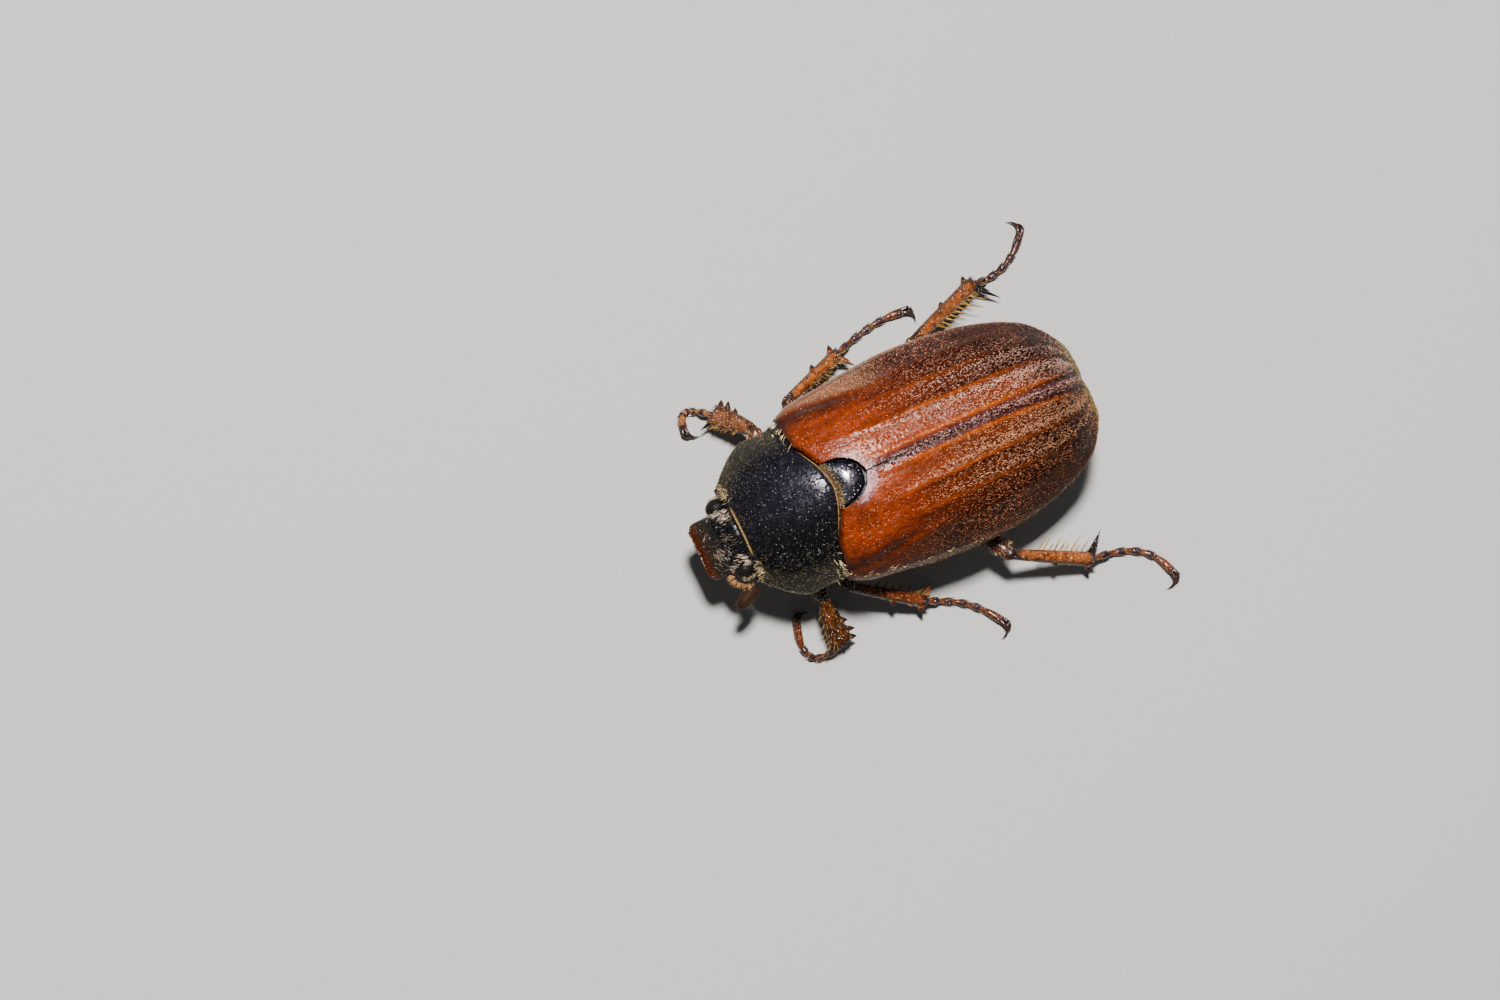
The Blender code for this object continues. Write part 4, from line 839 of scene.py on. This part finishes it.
def pronotum():
    """The front ring of the thorax, with its shield above, its coat and its golden rims."""
    run = np.concatenate([np.linspace(0, 0.08, 19)[:-1], np.linspace(0.08, 0.92, 90),
                          np.linspace(0.92, 1, 10)[1:]])
    over = np.sin(np.linspace(-1, 1, 151) * np.pi / 2)
    below = np.sin(np.linspace(1, -1, 61) * np.pi / 2)[1:-1]
    share = np.concatenate([over, below])[None]
    above = np.concatenate([np.ones(len(over)), np.zeros(len(below))])[None]
    run = run[:, None]
    side_height = PRONOTUM_SIDE(run)
    x = share * PRONOTUM_WIDTH(run)
    across, upward = PRONOTUM_ARCH
    arch = (1 - np.abs(share) ** across) ** (1 / upward)
    keel = (1 - np.abs(share) ** PRONOTUM_KEEL) ** (1 / PRONOTUM_KEEL)
    top = side_height + (PRONOTUM_TOP(run) - side_height) * arch
    bottom = side_height - (side_height - PRONOTUM_BOTTOM(run)) * keel
    front = PRONOTUM_FRONT + 0.1 * share ** 2
    rear = REAR_MARGIN(np.abs(x))
    y = front + run * (rear - front)
    z = np.where(above > 0, top, bottom)
    dip = 0.02 * hump(x, 0.25) * ease(run, 0.15, 0.4) * ease(1 - run, 0.05, 0.3)
    dip = dip + 0.06 * (hump(x - 2.9, 0.6) + hump(x + 2.9, 0.6)) * hump(run - 0.45, 0.18)
    z = z - dip * above
    tuck = np.maximum(hump(run, 0.022), hump(1 - run, 0.02))
    z = z - 0.14 * tuck * above
    rings = np.stack([x, y, z], -1)
    outward = grid_normals(rings, True)
    outward = outward * np.sign(np.sum(outward * (rings - rings.mean(axis=1, keepdims=True)), axis=-1,
                                       keepdims=True))
    rim = 0.08 * hump(1 - np.abs(share), 0.012) + 0.045 * hump(run - 0.965, 0.012) * above
    rings = rings + outward * rim[..., None]

    middle_front = hump(run - 0.006, 0.006) * ease(1.7 - np.abs(x), 0, 0.5) * above
    middle_rear = hump(1 - run, 0.008) * ease(3.0 - np.abs(x), 0, 1.0) * above
    flank = ease(np.abs(x) / PRONOTUM_WIDTH(run), 0.72, 0.95)
    # Painted reflection: a blue sheen right of the middle. Black on the flanks, and on the left half as
    # painted shade
    tint = mix(SHIELD_GREY, SHIELD_BLUE_REFLECTION, hump(np.hypot(x + 0.9, y + 2.0), 2.4))
    tint = mix(tint, SHIELD_BLACK_AND_SHADE, np.maximum(flank, ease(x, -0.3, 2.6)))
    tint = mix(tint, SHIELD_DUST, 0.5 * flank * above)
    tint = mix(tint, GOLD, np.clip(middle_front + middle_rear, 0, 1) * 0.8)
    # Painted glints: a dotted pale line along the side rims
    rim_glints = hump(1 - np.abs(share), 0.005) * ease(np.sin(run * 105 + 3 * np.sin(run * 31)), -0.2, 0.9)
    tint = mix(tint, SHIELD_RIM_GLINT, 0.7 * rim_glints * above)
    gloss = 1 - np.where(above > 0, 0.5 * flank * (1 - ease(np.abs(share), 0.98, 0.99)), 0.6)
    tint = np.concatenate([tint, gloss[..., None]], -1)
    edge = painted(BLACK, (5,) + tint.shape[1:])
    shell = Solid().loft(rounded(rings, 0.12), np.concatenate([edge, tint, edge]))
    shell.piece("front_shield", SHIELD, "body_shell", ["pronotum"])

    coat = Coat(31)
    upper = rings[:, :len(over)]
    share_up = np.abs(share[:, :len(over)])
    corner = hump(1 - share_up, 0.25) * (hump(run, 0.25) + hump(1 - run, 0.16))
    dense = 0.03 + 0.5 * ease(share_up, 0.55, 0.92) + 0.8 * corner + 0.2 * ease(0.14 - run, 0, 0.1)
    roots, normals, down, spots = coat.scatter(upper, 1700, dense)
    colour = mix(SHIELD_HAIR_PALE, SHIELD_HAIR_DARK, coat.random.random(len(roots)))
    coat.grow(roots, normals, down, 0.22, 0.025, 0.3, colour, spots, spread=0.6, shade=0.8)
    # Pale hairs as painted glints on the middle, closest in a short painted sheen streak behind the front rim
    painted_glints = ease(0.75 - share_up, 0, 0.3) * ease(run, 0.1, 0.3)
    painted_glints = painted_glints + 8 * hump(upper[..., 0], 0.1) * hump(upper[..., 1] + 4.1, 0.45)
    coat.cover(upper, 150, painted_glints, 0.13, 0.034, 0.2, SHIELD_GLINT, spread=0.7, shade=0.8)
    # Tufts at the hind corners and at the front ones, then the hairy breast
    roots, normals, down, spots = coat.scatter(upper[-12:], 150, hump(share_up - 0.86, 0.09))
    away = down + np.sign(roots[:, :1]) * np.array([1.1, 0, 0])
    coat.grow(roots, normals, away, 0.65, 0.032, 0.5, HAIR_CREAM, spots, spread=0.45, shade=0.75)
    roots, normals, down, spots = coat.scatter(upper[:19], 90, hump(share_up - 0.8, 0.12))
    coat.grow(roots, normals, -down, 0.42, 0.030, 0.6, FRONT_TUFT, spots, spread=0.7, shade=0.7)
    inside = ease(1 - np.abs(share[:, len(over) - 1:]), 0.04, 0.3)
    coat.cover(rings[:, len(over) - 1:], 2600, inside, 0.8, 0.04, 0.6, HAIR_CREAM, out=(0, 0, -1), sag=0.8,
               spread=0.45)
    coat.piece("front_shield_hair", HAIR, "body_shell")


pronotum()


def head():
    """The head with its hollowed clypeus and raised red-brown rim, and its coat."""
    at = np.linspace(0, 7, 90)[:, None]
    turn = 2 * np.pi * np.arange(96)[None] / 96
    square = HEAD_SQUARE(at)
    across = np.sign(np.cos(turn)) * np.abs(np.cos(turn)) ** (2 / square)
    rise = np.sign(np.sin(turn)) * np.abs(np.sin(turn)) ** (2 / square)
    above = np.stack([HEAD_TOP_Y(at), HEAD_TOP_Z(at)], -1)
    below = np.stack([HEAD_LOW_Y(at), HEAD_LOW_Z(at)], -1)
    middle, up = (above + below) / 2, (above - below) / 2
    dish = (0.16 * ease(at, 3.5, 4.4) * ease(6.9 - at, 0, 0.5) * ease(1 - np.abs(across), 0.0, 0.22)
            * (rise > 0))
    brow = 0.05 * hump(at - 3.3, 0.18) * ease(1 - np.abs(across), 0.1, 0.4) * (rise > 0)
    reach = rise[..., None] * up - (dish - brow)[..., None] * unit(up)
    half = HEAD_HALF(at) * (1 - 0.03 * hump(at - 3.4, 0.3))
    yz = middle + reach
    rings = np.stack([across * half, yz[..., 0], yz[..., 1]], -1)
    rim = ease(at, 4.8, 6.1) * (rise > -0.2)
    tint = mix(mix(BLACK, CLYPEUS_OLIVE, ease(at, 3.6, 4.6)), CLYPEUS_RIM, rim)
    paint = np.concatenate([np.repeat(tint[:1], 4, 0), tint, np.repeat(tint[-1:], 4, 0)])
    Solid().loft(rounded(rings, 0.1, 4), paint).piece("head_shell", HEAD_SHELL, "body_shell", ["head"])

    coat = Coat(41)
    top = (rise > 0.15) * (at > 0.8) * (at < 5)
    for tuft_x, tuft_y, radius, count, way, pale in HEAD_TUFTS:
        dense = top * hump(np.hypot(rings[..., 0] - tuft_x, rings[..., 1] - tuft_y), radius) + 1e-6
        coat.cover(rings, count, dense, 0.36, 0.019, 0.16, np.multiply(HEAD_HAIR, pale), (*way, 0), wrap=True,
                   spread=0.16, shade=0.7)
    coat.piece("head_hair", HAIR, "body_shell")


head()


def eyes():
    """Dull black eyes with a pale fringe of hair behind."""
    for word, side in SIDES:
        centre = np.array(EYE_CENTRE) * (side, 1, 1)
        ball = Solid().loft(egg(centre, EYE_RADII, 40, 56), EYE_BLACK)
        ball.piece("eye_shell_" + word, EYE_SHELL, "eye", ["eye_" + word])
        coat = Coat(51)
        around = np.linspace(-0.6, 2.4, 120)
        ring = centre + np.stack([side * np.cos(around) * EYE_RADII[0] * 0.9, np.sin(around) * EYE_RADII[1],
                                  0.12 + 0.1 * np.sin(around * 9)], -1)
        roots = ring + coat.random.normal(0, 0.05, ring.shape)
        normals = unit(roots - centre)
        spots = np.stack([np.linspace(0, 1, len(ring)), np.full(len(ring), 0.5)], -1)
        coat.grow(roots, normals, (0, 0.3, 1), 0.3, 0.022, 1.0, HAIR_CREAM, spots, sag=0.2, spread=0.5)
        coat.piece("eye_fringe_" + word, HAIR, "body_shell")


eyes()


def feelers():
    """Jointed stalks with closed fans of leaves, and the small feelers of the mouth."""
    for word, side in SIDES:
        path = line(STALKS[word], 84)
        share = np.linspace(0, 1, len(path))
        beads = 0.82 + 0.3 * np.abs(np.sin(np.pi * (share * 6.2 + 0.15))) ** 0.6
        slim = profile((0, 1.2), (0.5, 0.95), (1, 1.15))(share)
        radius = STALK_RADIUS * np.where(share < 0.24, 1.15, beads * slim)
        radius = radius * np.sqrt(np.clip(np.minimum(share, 1 - share) / 0.03, 0.05, 1))
        rings = sweep(path, radius, radius, 20)
        stalk = Solid().loft(rings, mix(STALK_TAN, STALK_RING, 0.8 * (beads < 1.0))[:, None])
        stalk.piece("feeler_stalk_" + word, FEELER_SHELL, "feeler", ["antenna_" + word])
        coat = Coat(61)
        coat.cover(rings, 110, 1.0, 0.2, 0.024, 0.7, mix(HAIR_CREAM, HAIR_GOLD, 0.5), wrap=True)

        root, tip = (np.array(point) for point in CLUBS[word])
        along = unit((tip - root)[None])[0]
        sideways = unit(np.cross(along, (0, 0, 1))[None])[0]
        up = np.cross(sideways, along)
        run = np.linspace(0, 1, 60)[:, None]
        swell = np.sqrt(np.maximum(0.0, 1 - np.abs(2 * run ** 0.85 - 1) ** 2.6)) * 0.97 + 0.03
        turn = 2 * np.pi * np.arange(144)[None] / 144
        across = np.cos(turn)
        groove = 1 - 0.16 * np.abs(np.cos(across * np.pi * CLUB_LEAVES / 2)) ** 9 * (np.abs(across) < 0.93)
        rise = np.sign(np.sin(turn)) * np.abs(np.sin(turn)) ** 0.9 * groove
        aside = (across * CLUB_HALF_WIDTH * swell)[..., None]
        upward = (rise * CLUB_HALF_HEIGHT * swell)[..., None]
        rings = root + (tip - root) * run[..., None] + sideways * aside + up * upward
        tint = mix(CLUB_BROWN, CLUB_GROOVE, (1 - groove) / 0.16)
        fan = Solid().loft(rings, mix(tint, LEG_ORANGE, 0.5 * ease(0.12 - run, 0, 0.1)))
        fan.piece("feeler_fan_" + word, FEELER_SHELL, "feeler_club", ["club_" + word])
        coat.cover(rings, 150, 1.0, 0.12, 0.018, 0.5, CLUB_HAIR, wrap=True)
        coat.piece("feeler_hair_" + word, HAIR, "feeler")

        path = line([np.array(point) * (side, 1, 1) for point in PALP], 60)
        share = np.linspace(0, 1, len(path))
        radius = 0.22 * (0.75 + 0.35 * np.abs(np.sin(np.pi * (share * 3 + 0.1))) ** 0.7)
        radius = radius * np.sqrt(np.clip(np.minimum(share, 1 - share) / 0.05, 0.05, 1))
        palp = Solid().loft(sweep(path, radius, radius, 18, up=(1, 0, 0)), mix(LEG_ORANGE, LEG_DARK, 0.4))
        palp.piece("mouth_feeler_" + word, FEELER_SHELL, "feeler", ["palp_" + word])


feelers()


# Body under the wing cases

def trunk_rings(start, end, rows, groove):
    """Rings of the hind body, their places across, and which points are above.

    The underside carries the plates' edges.
    """
    depth = 0.62
    y0 = np.linspace(start, end, rows)[:, None]
    over = np.sin(np.linspace(-1, 1, 61) * np.pi / 2)
    below = np.sin(np.linspace(1, -1, 81) * np.pi / 2)[1:-1]
    share = np.concatenate([over, below])[None]
    above = np.concatenate([np.ones(len(over)), np.zeros(len(below))])[None]
    front = (REAR_MARGIN(np.abs(share) * ELYTRA_WIDTH(y0)) + 0.1) * (start < 0)
    y = y0 + front * ease(2.0 - y0, 0, 2.0)
    width = ELYTRA_WIDTH(y) - depth * 0.75
    x = share * width
    rim = ELYTRA_MARGIN(y) - 0.12
    top = back_height(np.abs(x), y) - depth
    keel = (1 - np.abs(share) ** BELLY_ARCH) ** (1 / BELLY_ARCH)
    plates = groove * (1 - np.abs(np.sin(np.pi * (y - start) / 1.75)) ** 0.25) * keel ** 0.3
    bottom = rim - (rim - BELLY(y) - plates) * keel
    return np.stack([x, y, np.where(above > 0, np.maximum(top, rim), bottom)], -1), share, above


def trunk():
    """Hairy black thorax, and ringed abdomen with a row of white hair triangles on each side."""
    rings = trunk_rings(-0.4, WAIST + 0.2, 60, 0.0)[0]
    shell = Solid().loft(rounded(lean(rings), 0.15, 4), BLACK)
    shell.piece("thorax_shell", BELLY_SHELL, "body_shell", ["thorax"])
    coat = Coat(71)
    coat.cover(lean(rings)[:, 60:], 7000, 1.0, 0.85, 0.042, 0.6, mix(HAIR_CREAM, HAIR_GOLD, 0.3),
               out=(0, 0, -1), sag=0.8, spread=0.45)
    coat.piece("thorax_hair", HAIR, "body_shell")

    rings, share, above = trunk_rings(WAIST + 0.1, BODY_END - 0.1, 150, 0.16)
    segment = np.mod(rings[..., 1] - WAIST - 0.1, 1.75) / 1.75
    side_band = ease(np.abs(share), 0.8, 0.97) * (1 - above)
    white = side_band * ease(segment, 0.0, 0.1) * ease(0.95 - segment, 0, 0.3)
    tint = mix(mix(BLACK, BELLY_BROWN, 0.4), BELLY_WHITE, 0.5 * white)
    cap = painted(BLACK, (4,) + tint.shape[1:])
    paint = np.concatenate([cap, painted(tint, tint.shape), cap])
    shell = Solid().loft(rounded(lean(rings), 0.15, 4), paint)
    shell.piece("abdomen_shell", BELLY_SHELL, "body_shell", ["abdomen"])
    coat = Coat(72)
    edge = np.abs(share)[:, 60:]
    triangle = ease(edge - 0.72 - 0.2 * segment[:, 60:], 0, 0.06) * ease(segment[:, 60:], 0.02, 0.1)
    for count, density, length, colour in ((3600, 0.4, 0.3, HAIR_CREAM),
                                           (4200, triangle + 1e-4, 0.24, BELLY_HAIR_WHITE)):
        coat.cover(lean(rings)[:, 60:], count, density, length, 0.046, 0.25, colour, out=(0, 0, -1),
                   spread=0.3)
    coat.piece("abdomen_hair", HAIR, "body_shell")


trunk()


def pygidium():
    """The pointed last plate, steep behind the wing cases."""
    (y0, z0), (y1, z1) = PYGIDIUM_BASE, PYGIDIUM_TIP
    slope = math.hypot(y1 - y0, z1 - z0)
    run = np.linspace(0, 1, 80)[:, None]
    share = np.sin(np.linspace(-1, 1, 71) * np.pi / 2)[None]

    def layer(depth):
        bulge = PYGIDIUM_BULGE * (1 - share ** 2) * np.sin(np.pi * np.minimum(run * 1.1, 1)) - depth
        return np.stack([share * PYGIDIUM_WIDTH(run), y0 + run * (y1 - y0) + bulge * (z0 - z1) / slope,
                         z0 + run * (z1 - z0) + bulge * (y1 - y0) / slope], -1)
    # The last belly plate closes against it from below
    closed = profile((0, 0.9), (0.3, 1.5), (0.6, 1.3), (0.85, 0.55), (1, 0.3))(run)
    upper, lower = lean(layer(0)), lean(layer(0.1 + closed * np.sqrt(1 - 0.98 * share ** 2)))
    tint = mix(BLACK, TAIL_BROWN, ease(run, 0.5, 1.0))
    Solid().plate(upper, lower, tint, tint).piece("tail_plate", BELLY_SHELL, "body_shell", ["pygidium"])
    coat = Coat(81)
    coat.cover(upper, 1500, 1.0, 0.26, 0.036, 0.3, np.multiply(HAIR_CREAM, 0.7), out=(0, 1, 0.5), shade=0.5)
    coat.cover(lower, 900, ease(run, 0.3, 0.5), 0.24, 0.032, 0.3, np.multiply(HAIR_CREAM, 0.6),
               out=(0, -1, -1), shade=0.5)
    coat.piece("tail_plate_hair", HAIR, "body_shell")


pygidium()


# Legs

def hook(root, middle, tip, thick, rows=16, sides=10, flat=1.0):
    """Rings of a curved, pointed tooth, spur or claw."""
    t = np.linspace(0, 1, rows)[:, None]
    path = ((1 - t) ** 2 * np.asarray(root) + 2 * t * (1 - t) * np.asarray(middle) + t * t * np.asarray(tip))
    radius = thick * (1 - t[:, 0] ** 1.6) + 0.006
    return sweep(path, radius, radius * flat, sides)


def foot_path(leg, share):
    """Points of the foot's centre line, from the ankle (0) to the claws' root (1)."""
    ankle, toward, end = (np.array(LEGS[leg][k], float) for k in (2, 3, 4))
    share = np.atleast_1d(np.asarray(share, float))
    flat = (ankle[:2] * (1 - share[:, None]) ** 2 + 2 * toward * share[:, None] * (1 - share[:, None])
            + end * share[:, None] ** 2)
    drop = np.maximum(0.0, 1 - share / FOOT_DROP) ** 2
    lift = np.maximum(0.0, 1 - (1 - share) / FOOT_LIFT) ** 2
    return np.column_stack([flat, FOOT_HEIGHT + (ankle[2] - FOOT_HEIGHT) * drop + CLAW_RISE * lift])


def thigh_piece(leg, coat):
    """The thigh and the hip that it grows from."""
    hip_radii, thigh_half = PAIRS[leg.split("_")[0]][:2]
    hip, knee = (np.array(point) for point in LEGS[leg][:2])
    share = np.linspace(0, 1.07, 60)
    path = hip + (knee - hip) * share[:, None]
    thick = thigh_half * THIGH_SHAPE(share) * np.sqrt(np.clip((1.075 - share) / 0.06, 0.02, 1))
    rings = sweep(path, thick, thick * THIGH_FLATNESS, 32)
    dark = LEG_DARK if leg.endswith("left") else RIGHT_THIGH
    tint = mix(mix(dark, LEG_ORANGE, 0.35 * ease(share, 0.3, 0.8)), LEG_DARK, 0.8 * ease(share, 0.93, 1.02))
    thigh = Solid().loft(rings, tint[:, None]).loft(egg(hip, hip_radii, 30, 40), BLACK)
    thigh.piece(leg + "_thigh", LEG_SHELL, "leg", [leg + "_femur"])
    coat.cover(rings[:54], 260, 1.0, 0.34, 0.03, 0.5, mix(HAIR_CREAM, HAIR_GOLD, 0.4), wrap=True)


def shin_piece(leg, coat):
    """The shin with its outer teeth, its spurs and a comb of stiff golden hair."""
    start, end, flatness, spur_length, teeth, turn = PAIRS[leg.split("_")[0]][2:]
    knee, ankle = (np.array(point) for point in LEGS[leg][1:3])
    along = unit((ankle - knee)[None])[0]
    outer = unit(np.cross(along, (0, 0, 1))[None])[0] * turn * (1.0 if leg.endswith("right") else -1.0)
    up = np.cross(outer, along) * np.sign(np.cross(outer, along)[2])
    share = np.linspace(-0.02, 1.02, 80)
    path = knee + (ankle - knee) * share[:, None]
    wide = start + (end - start) * SHIN_SHAPE(share)
    tall = np.maximum(wide * flatness, 0.25) * 0.95
    close = np.sqrt(np.clip(np.minimum(share + 0.025, 1.025 - share) / 0.045, 0.02, 1))
    rings = sweep(path, wide * close, tall * close, 32)
    aside = np.sum((rings - path[:, None]) * outer, axis=-1) / wide[:, None]
    edges = 0.8 * ease(aside, 0.35, 0.85) + 0.6 * ease(-aside, 0.55, 0.95)
    ends = 0.85 * ease(0.16 - share, 0, 0.12)[:, None] + 0.8 * ease(share, 0.88, 0.98)[:, None]
    # The shin's colour with its leg's painted light and shade, darker at the edges and ends
    solid = Solid().loft(rings, mix(SHIN_COLOURS_AND_LIGHT[leg], LEG_DARK, np.clip(edges + ends, 0, 1)))
    worn = mix(LEG_ORANGE, LEG_DARK, ease(np.linspace(0, 1, 16), 0.2, 0.65))[:, None]
    for position, length in teeth:
        half = start + (end - start) * position
        middle = knee + (ankle - knee) * position
        root = middle + outer * half * 0.35 - along * 0.2
        bend = middle + outer * (half + length * 0.35) - along * 0.02
        tip = middle + outer * (half + length) + along * length * 0.38
        solid.loft(hook(root, bend, tip, 0.27, flat=0.8), worn)
    spread = math.radians(57)
    heading = along * math.cos(spread) - outer * math.sin(spread)
    spurs = [(1.0, 0.0, 0.17), (0.5, 0.25, 0.11)] if spur_length > 1 else [(1.0, 0.0, 0.14)]
    for scale, shift, thick in spurs:
        root = ankle - along * (0.3 - shift) - outer * end * 0.4
        tip = ankle - along * (0.15 - shift) - outer * end + heading * spur_length * scale
        tip[2] = max(tip[2], 0.35)
        bend = (root + tip) / 2 + along * 0.1
        solid.loft(hook(root, bend, tip, thick), SPUR_BROWN if leg.startswith("mid") else LEG_DARK)
    count, longest = BRISTLES[leg.split("_")[0]]
    for k in range(count):
        at = 0.3 + 0.6 * (k + 0.5) / count
        size = longest * (0.75 + 0.25 * math.sin(2.4 * k))
        root = knee + (ankle - knee) * at - outer * (start + (end - start) * SHIN_SHAPE(at)) * 0.85
        tip = root - outer * size * 0.8 + along * size * 0.6 + up * size * 0.1 * math.cos(3.1 * k)
        thorn = hook(root, (root + tip) / 2 - outer * 0.08, tip, 0.05, 8, 6)
        solid.loft(thorn, BRISTLE_GOLD if leg.startswith("hind") else BRISTLE_BROWN)
    for k in range(9):
        angle = math.pi * (k + 0.5) / 9
        root = ankle - along * 0.08 - outer * math.cos(angle) * end * 0.75 + up * math.sin(angle) * 0.2
        tip = root + along * 0.3 - outer * math.cos(angle) * 0.08 + up * 0.05
        solid.loft(hook(root, (root + tip) / 2, tip, 0.045, 8, 6), LEG_DARK)
    solid.piece(leg + "_shin", LEG_SHELL, "leg", [leg + "_tibia"])

    inner = ease(-aside, 0.35, 0.8) * ease(share, 0.15, 0.4)[:, None]
    for count, density, length, rise, width in ((24, inner[4:-4] + 1e-4, 0.5, 0.95, 0.030),
                                                (70, 1.0, 0.22, 0.45, 0.026)):
        coat.cover(rings[4:-4], count, density, length, width, rise, HAIR_GOLD, along, wrap=True, sag=0.1,
                   spread=0.25)


def foot_piece(leg, coat):
    """Five foot segments, flared and dark at their ends, with small spines and two hooked claws."""
    share = np.linspace(-0.02, 1.0, 150)
    path = foot_path(leg, share)
    last = share > LAST_SEGMENT
    within = np.where(last, (share - LAST_SEGMENT) / (1 - LAST_SEGMENT),
                      np.mod(share / LAST_SEGMENT * (FOOT_SEGMENTS - 1), 1.0))
    flare = ease(within, 0.3, 0.8) * ease(1.0 - within, 0.0, 0.08)
    radius = np.where(last, 0.17 + 0.08 * ease(within, 0.05, 0.6), 0.17 + 0.08 * flare)
    radius = radius * np.sqrt(np.clip((1.005 - share) / 0.02, 0.05, 1))
    rings = sweep(path, radius, radius, 24)
    rings[..., 2] = np.maximum(rings[..., 2], 0.0)
    darkness = FOOT_DARKNESS.get(leg, 0.15)
    tone = np.where(last, 0.5 * ease(within, 0.6, 1), ease(within, 0.4, 0.7))
    tone = darkness + (1 - darkness) * tone
    ground = mix(LEG_ORANGE, TAN, 0.5) if leg == "fore_right" else mix(LEG_ORANGE, BROWN, 0.3)
    solid = Solid().loft(rings, mix(ground, FOOT_DARK, tone)[:, None])
    for segment in range(FOOT_SEGMENTS - 1):
        root = foot_path(leg, (segment + 0.86) / (FOOT_SEGMENTS - 1) * LAST_SEGMENT)[0]
        ahead = foot_path(leg, (segment + 1.1) / (FOOT_SEGMENTS - 1) * LAST_SEGMENT)[0] - root
        ahead = ahead / np.linalg.norm(ahead)
        side = np.cross(ahead, (0, 0, 1))
        for aside in (-1, -0.4, 0.4, 1):
            base = root + side * aside * 0.16 + np.array([0, 0, -0.1 + 0.08 * abs(aside)])
            tip = base + ahead * 0.3 + side * aside * 0.13
            tip[2] = max(tip[2], 0.03)
            solid.loft(hook(base, (base + tip) / 2, tip, 0.035, 8, 6), LEG_DARK)
    end = foot_path(leg, 1.0)[0]
    ahead = end - foot_path(leg, 0.9)[0]
    ahead = ahead * (1, 1, 0) / np.linalg.norm(ahead[:2])
    side = np.cross(ahead, (0, 0, 1))
    curl = CLAW_CURL[leg]
    horn = mix(CLAW_BROWN, LEG_DARK, np.linspace(0, 1, 22))[:, None]
    for turn in (1, -1):
        root = foot_path(leg, 0.97)[0] + side * turn * 0.08
        bend = end + ahead * CLAW_BEND + side * (turn * 0.2 - curl * 0.1) + (0, 0, 0.26)
        tip = end + ahead * CLAW_TIP + side * (turn * 0.15 + curl * CLAW_HOOK)
        tip[2] = 0.03
        solid.loft(hook(root, bend, tip, 0.13, 22, 12), horn)
        base = root * 0.45 + bend * 0.55
        solid.loft(hook(base, base + (0, 0, -0.1), base + ahead * 0.08 + (0, 0, -0.2), 0.05, 8, 6), LEG_DARK)
    solid.piece(leg + "_foot", LEG_SHELL, "leg", [leg + "_tarsus"])
    roots, normals, down, spots = coat.scatter(rings[:-3], 110, wrap=True)
    keep = normals[:, 2] > -0.2
    coat.grow(roots[keep], normals[keep], down[keep], 0.17, 0.024, 0.5, HAIR_GOLD, spots[keep])


for number, leg_name in enumerate(LEGS):
    leg_coat = Coat(91 + number)
    thigh_piece(leg_name, leg_coat)
    shin_piece(leg_name, leg_coat)
    foot_piece(leg_name, leg_coat)
    leg_coat.piece(leg_name + "_hair", HAIR, "leg")


# Floor, light and camera

def floor():
    """A wide pale floor at the feet's level."""
    mesh = bpy.data.meshes.new("floor")
    mesh.from_pydata([(-3, -3, 0), (3, -3, 0), (3, 3, 0), (-3, 3, 0)], [], [(0, 1, 2, 3)])
    sheet = bpy.data.objects.new("floor", mesh)
    bpy.context.scene.collection.objects.link(sheet)
    made = bpy.data.materials.new("pale_floor")
    made.use_nodes = True
    shader = made.node_tree.nodes["Principled BSDF"]
    shader.inputs["Base Color"].default_value = FLOOR_GREY
    shader.inputs["Roughness"].default_value = 0.75
    mesh.materials.append(made)


def lamp(name, place_mm, aim_mm, size_mm, watts, colour):
    """A soft square light aimed at a point."""
    light = bpy.data.lights.new(name, "AREA")
    light.energy = watts
    light.size = size_mm * MM
    light.color = colour
    lamp_object = bpy.data.objects.new(name, light)
    start, aim = Vector(place(place_mm)), Vector(place(aim_mm))
    lamp_object.location = start
    lamp_object.rotation_euler = (aim - start).to_track_quat("-Z", "Y").to_euler()
    bpy.context.scene.collection.objects.link(lamp_object)


def studio():
    """Three soft lamps and a faint even light from all around."""
    lamp("key", (-95, -10, 388), (0, 6, 5), 52, 5.0, (1.0, 0.97, 0.92))
    lamp("fill", (260, -160, 300), (0, 6, 5), 420, 0.12, (0.9, 0.95, 1.0))
    lamp("back", (-240, 260, 160), (0, 6, 5), 300, 0.06, (1.0, 0.98, 0.95))
    world = bpy.data.worlds.new("studio")
    bpy.context.scene.world = world
    world.use_nodes = True
    world.node_tree.nodes["Background"].inputs["Color"].default_value = (0.85, 0.9, 1.0, 1)
    world.node_tree.nodes["Background"].inputs["Strength"].default_value = 0.06


# Fitted to the beetle's outline in the photograph
CAMERA_PLACE = (28.37, -83.18, 348.12)
CAMERA_RIGHT = (0.43559, 0.88468, 0.16614)
CAMERA_UP = (-0.89613, 0.40878, 0.17278)
LENS = 142.8


def camera():
    """The photograph's view."""
    data = bpy.data.cameras.new("camera")
    data.sensor_width = 36.0
    data.lens = LENS
    data.clip_start = 0.01
    data.clip_end = 20.0
    eye = bpy.data.objects.new("camera", data)
    right, up = Vector(CAMERA_RIGHT), Vector(CAMERA_UP)
    turn = Matrix((right, up, right.cross(up))).transposed()
    eye.matrix_world = Matrix.Translation(Vector(place(CAMERA_PLACE))) @ turn.to_4x4()
    bpy.context.scene.collection.objects.link(eye)
    bpy.context.scene.camera = eye


floor()
studio()
camera()
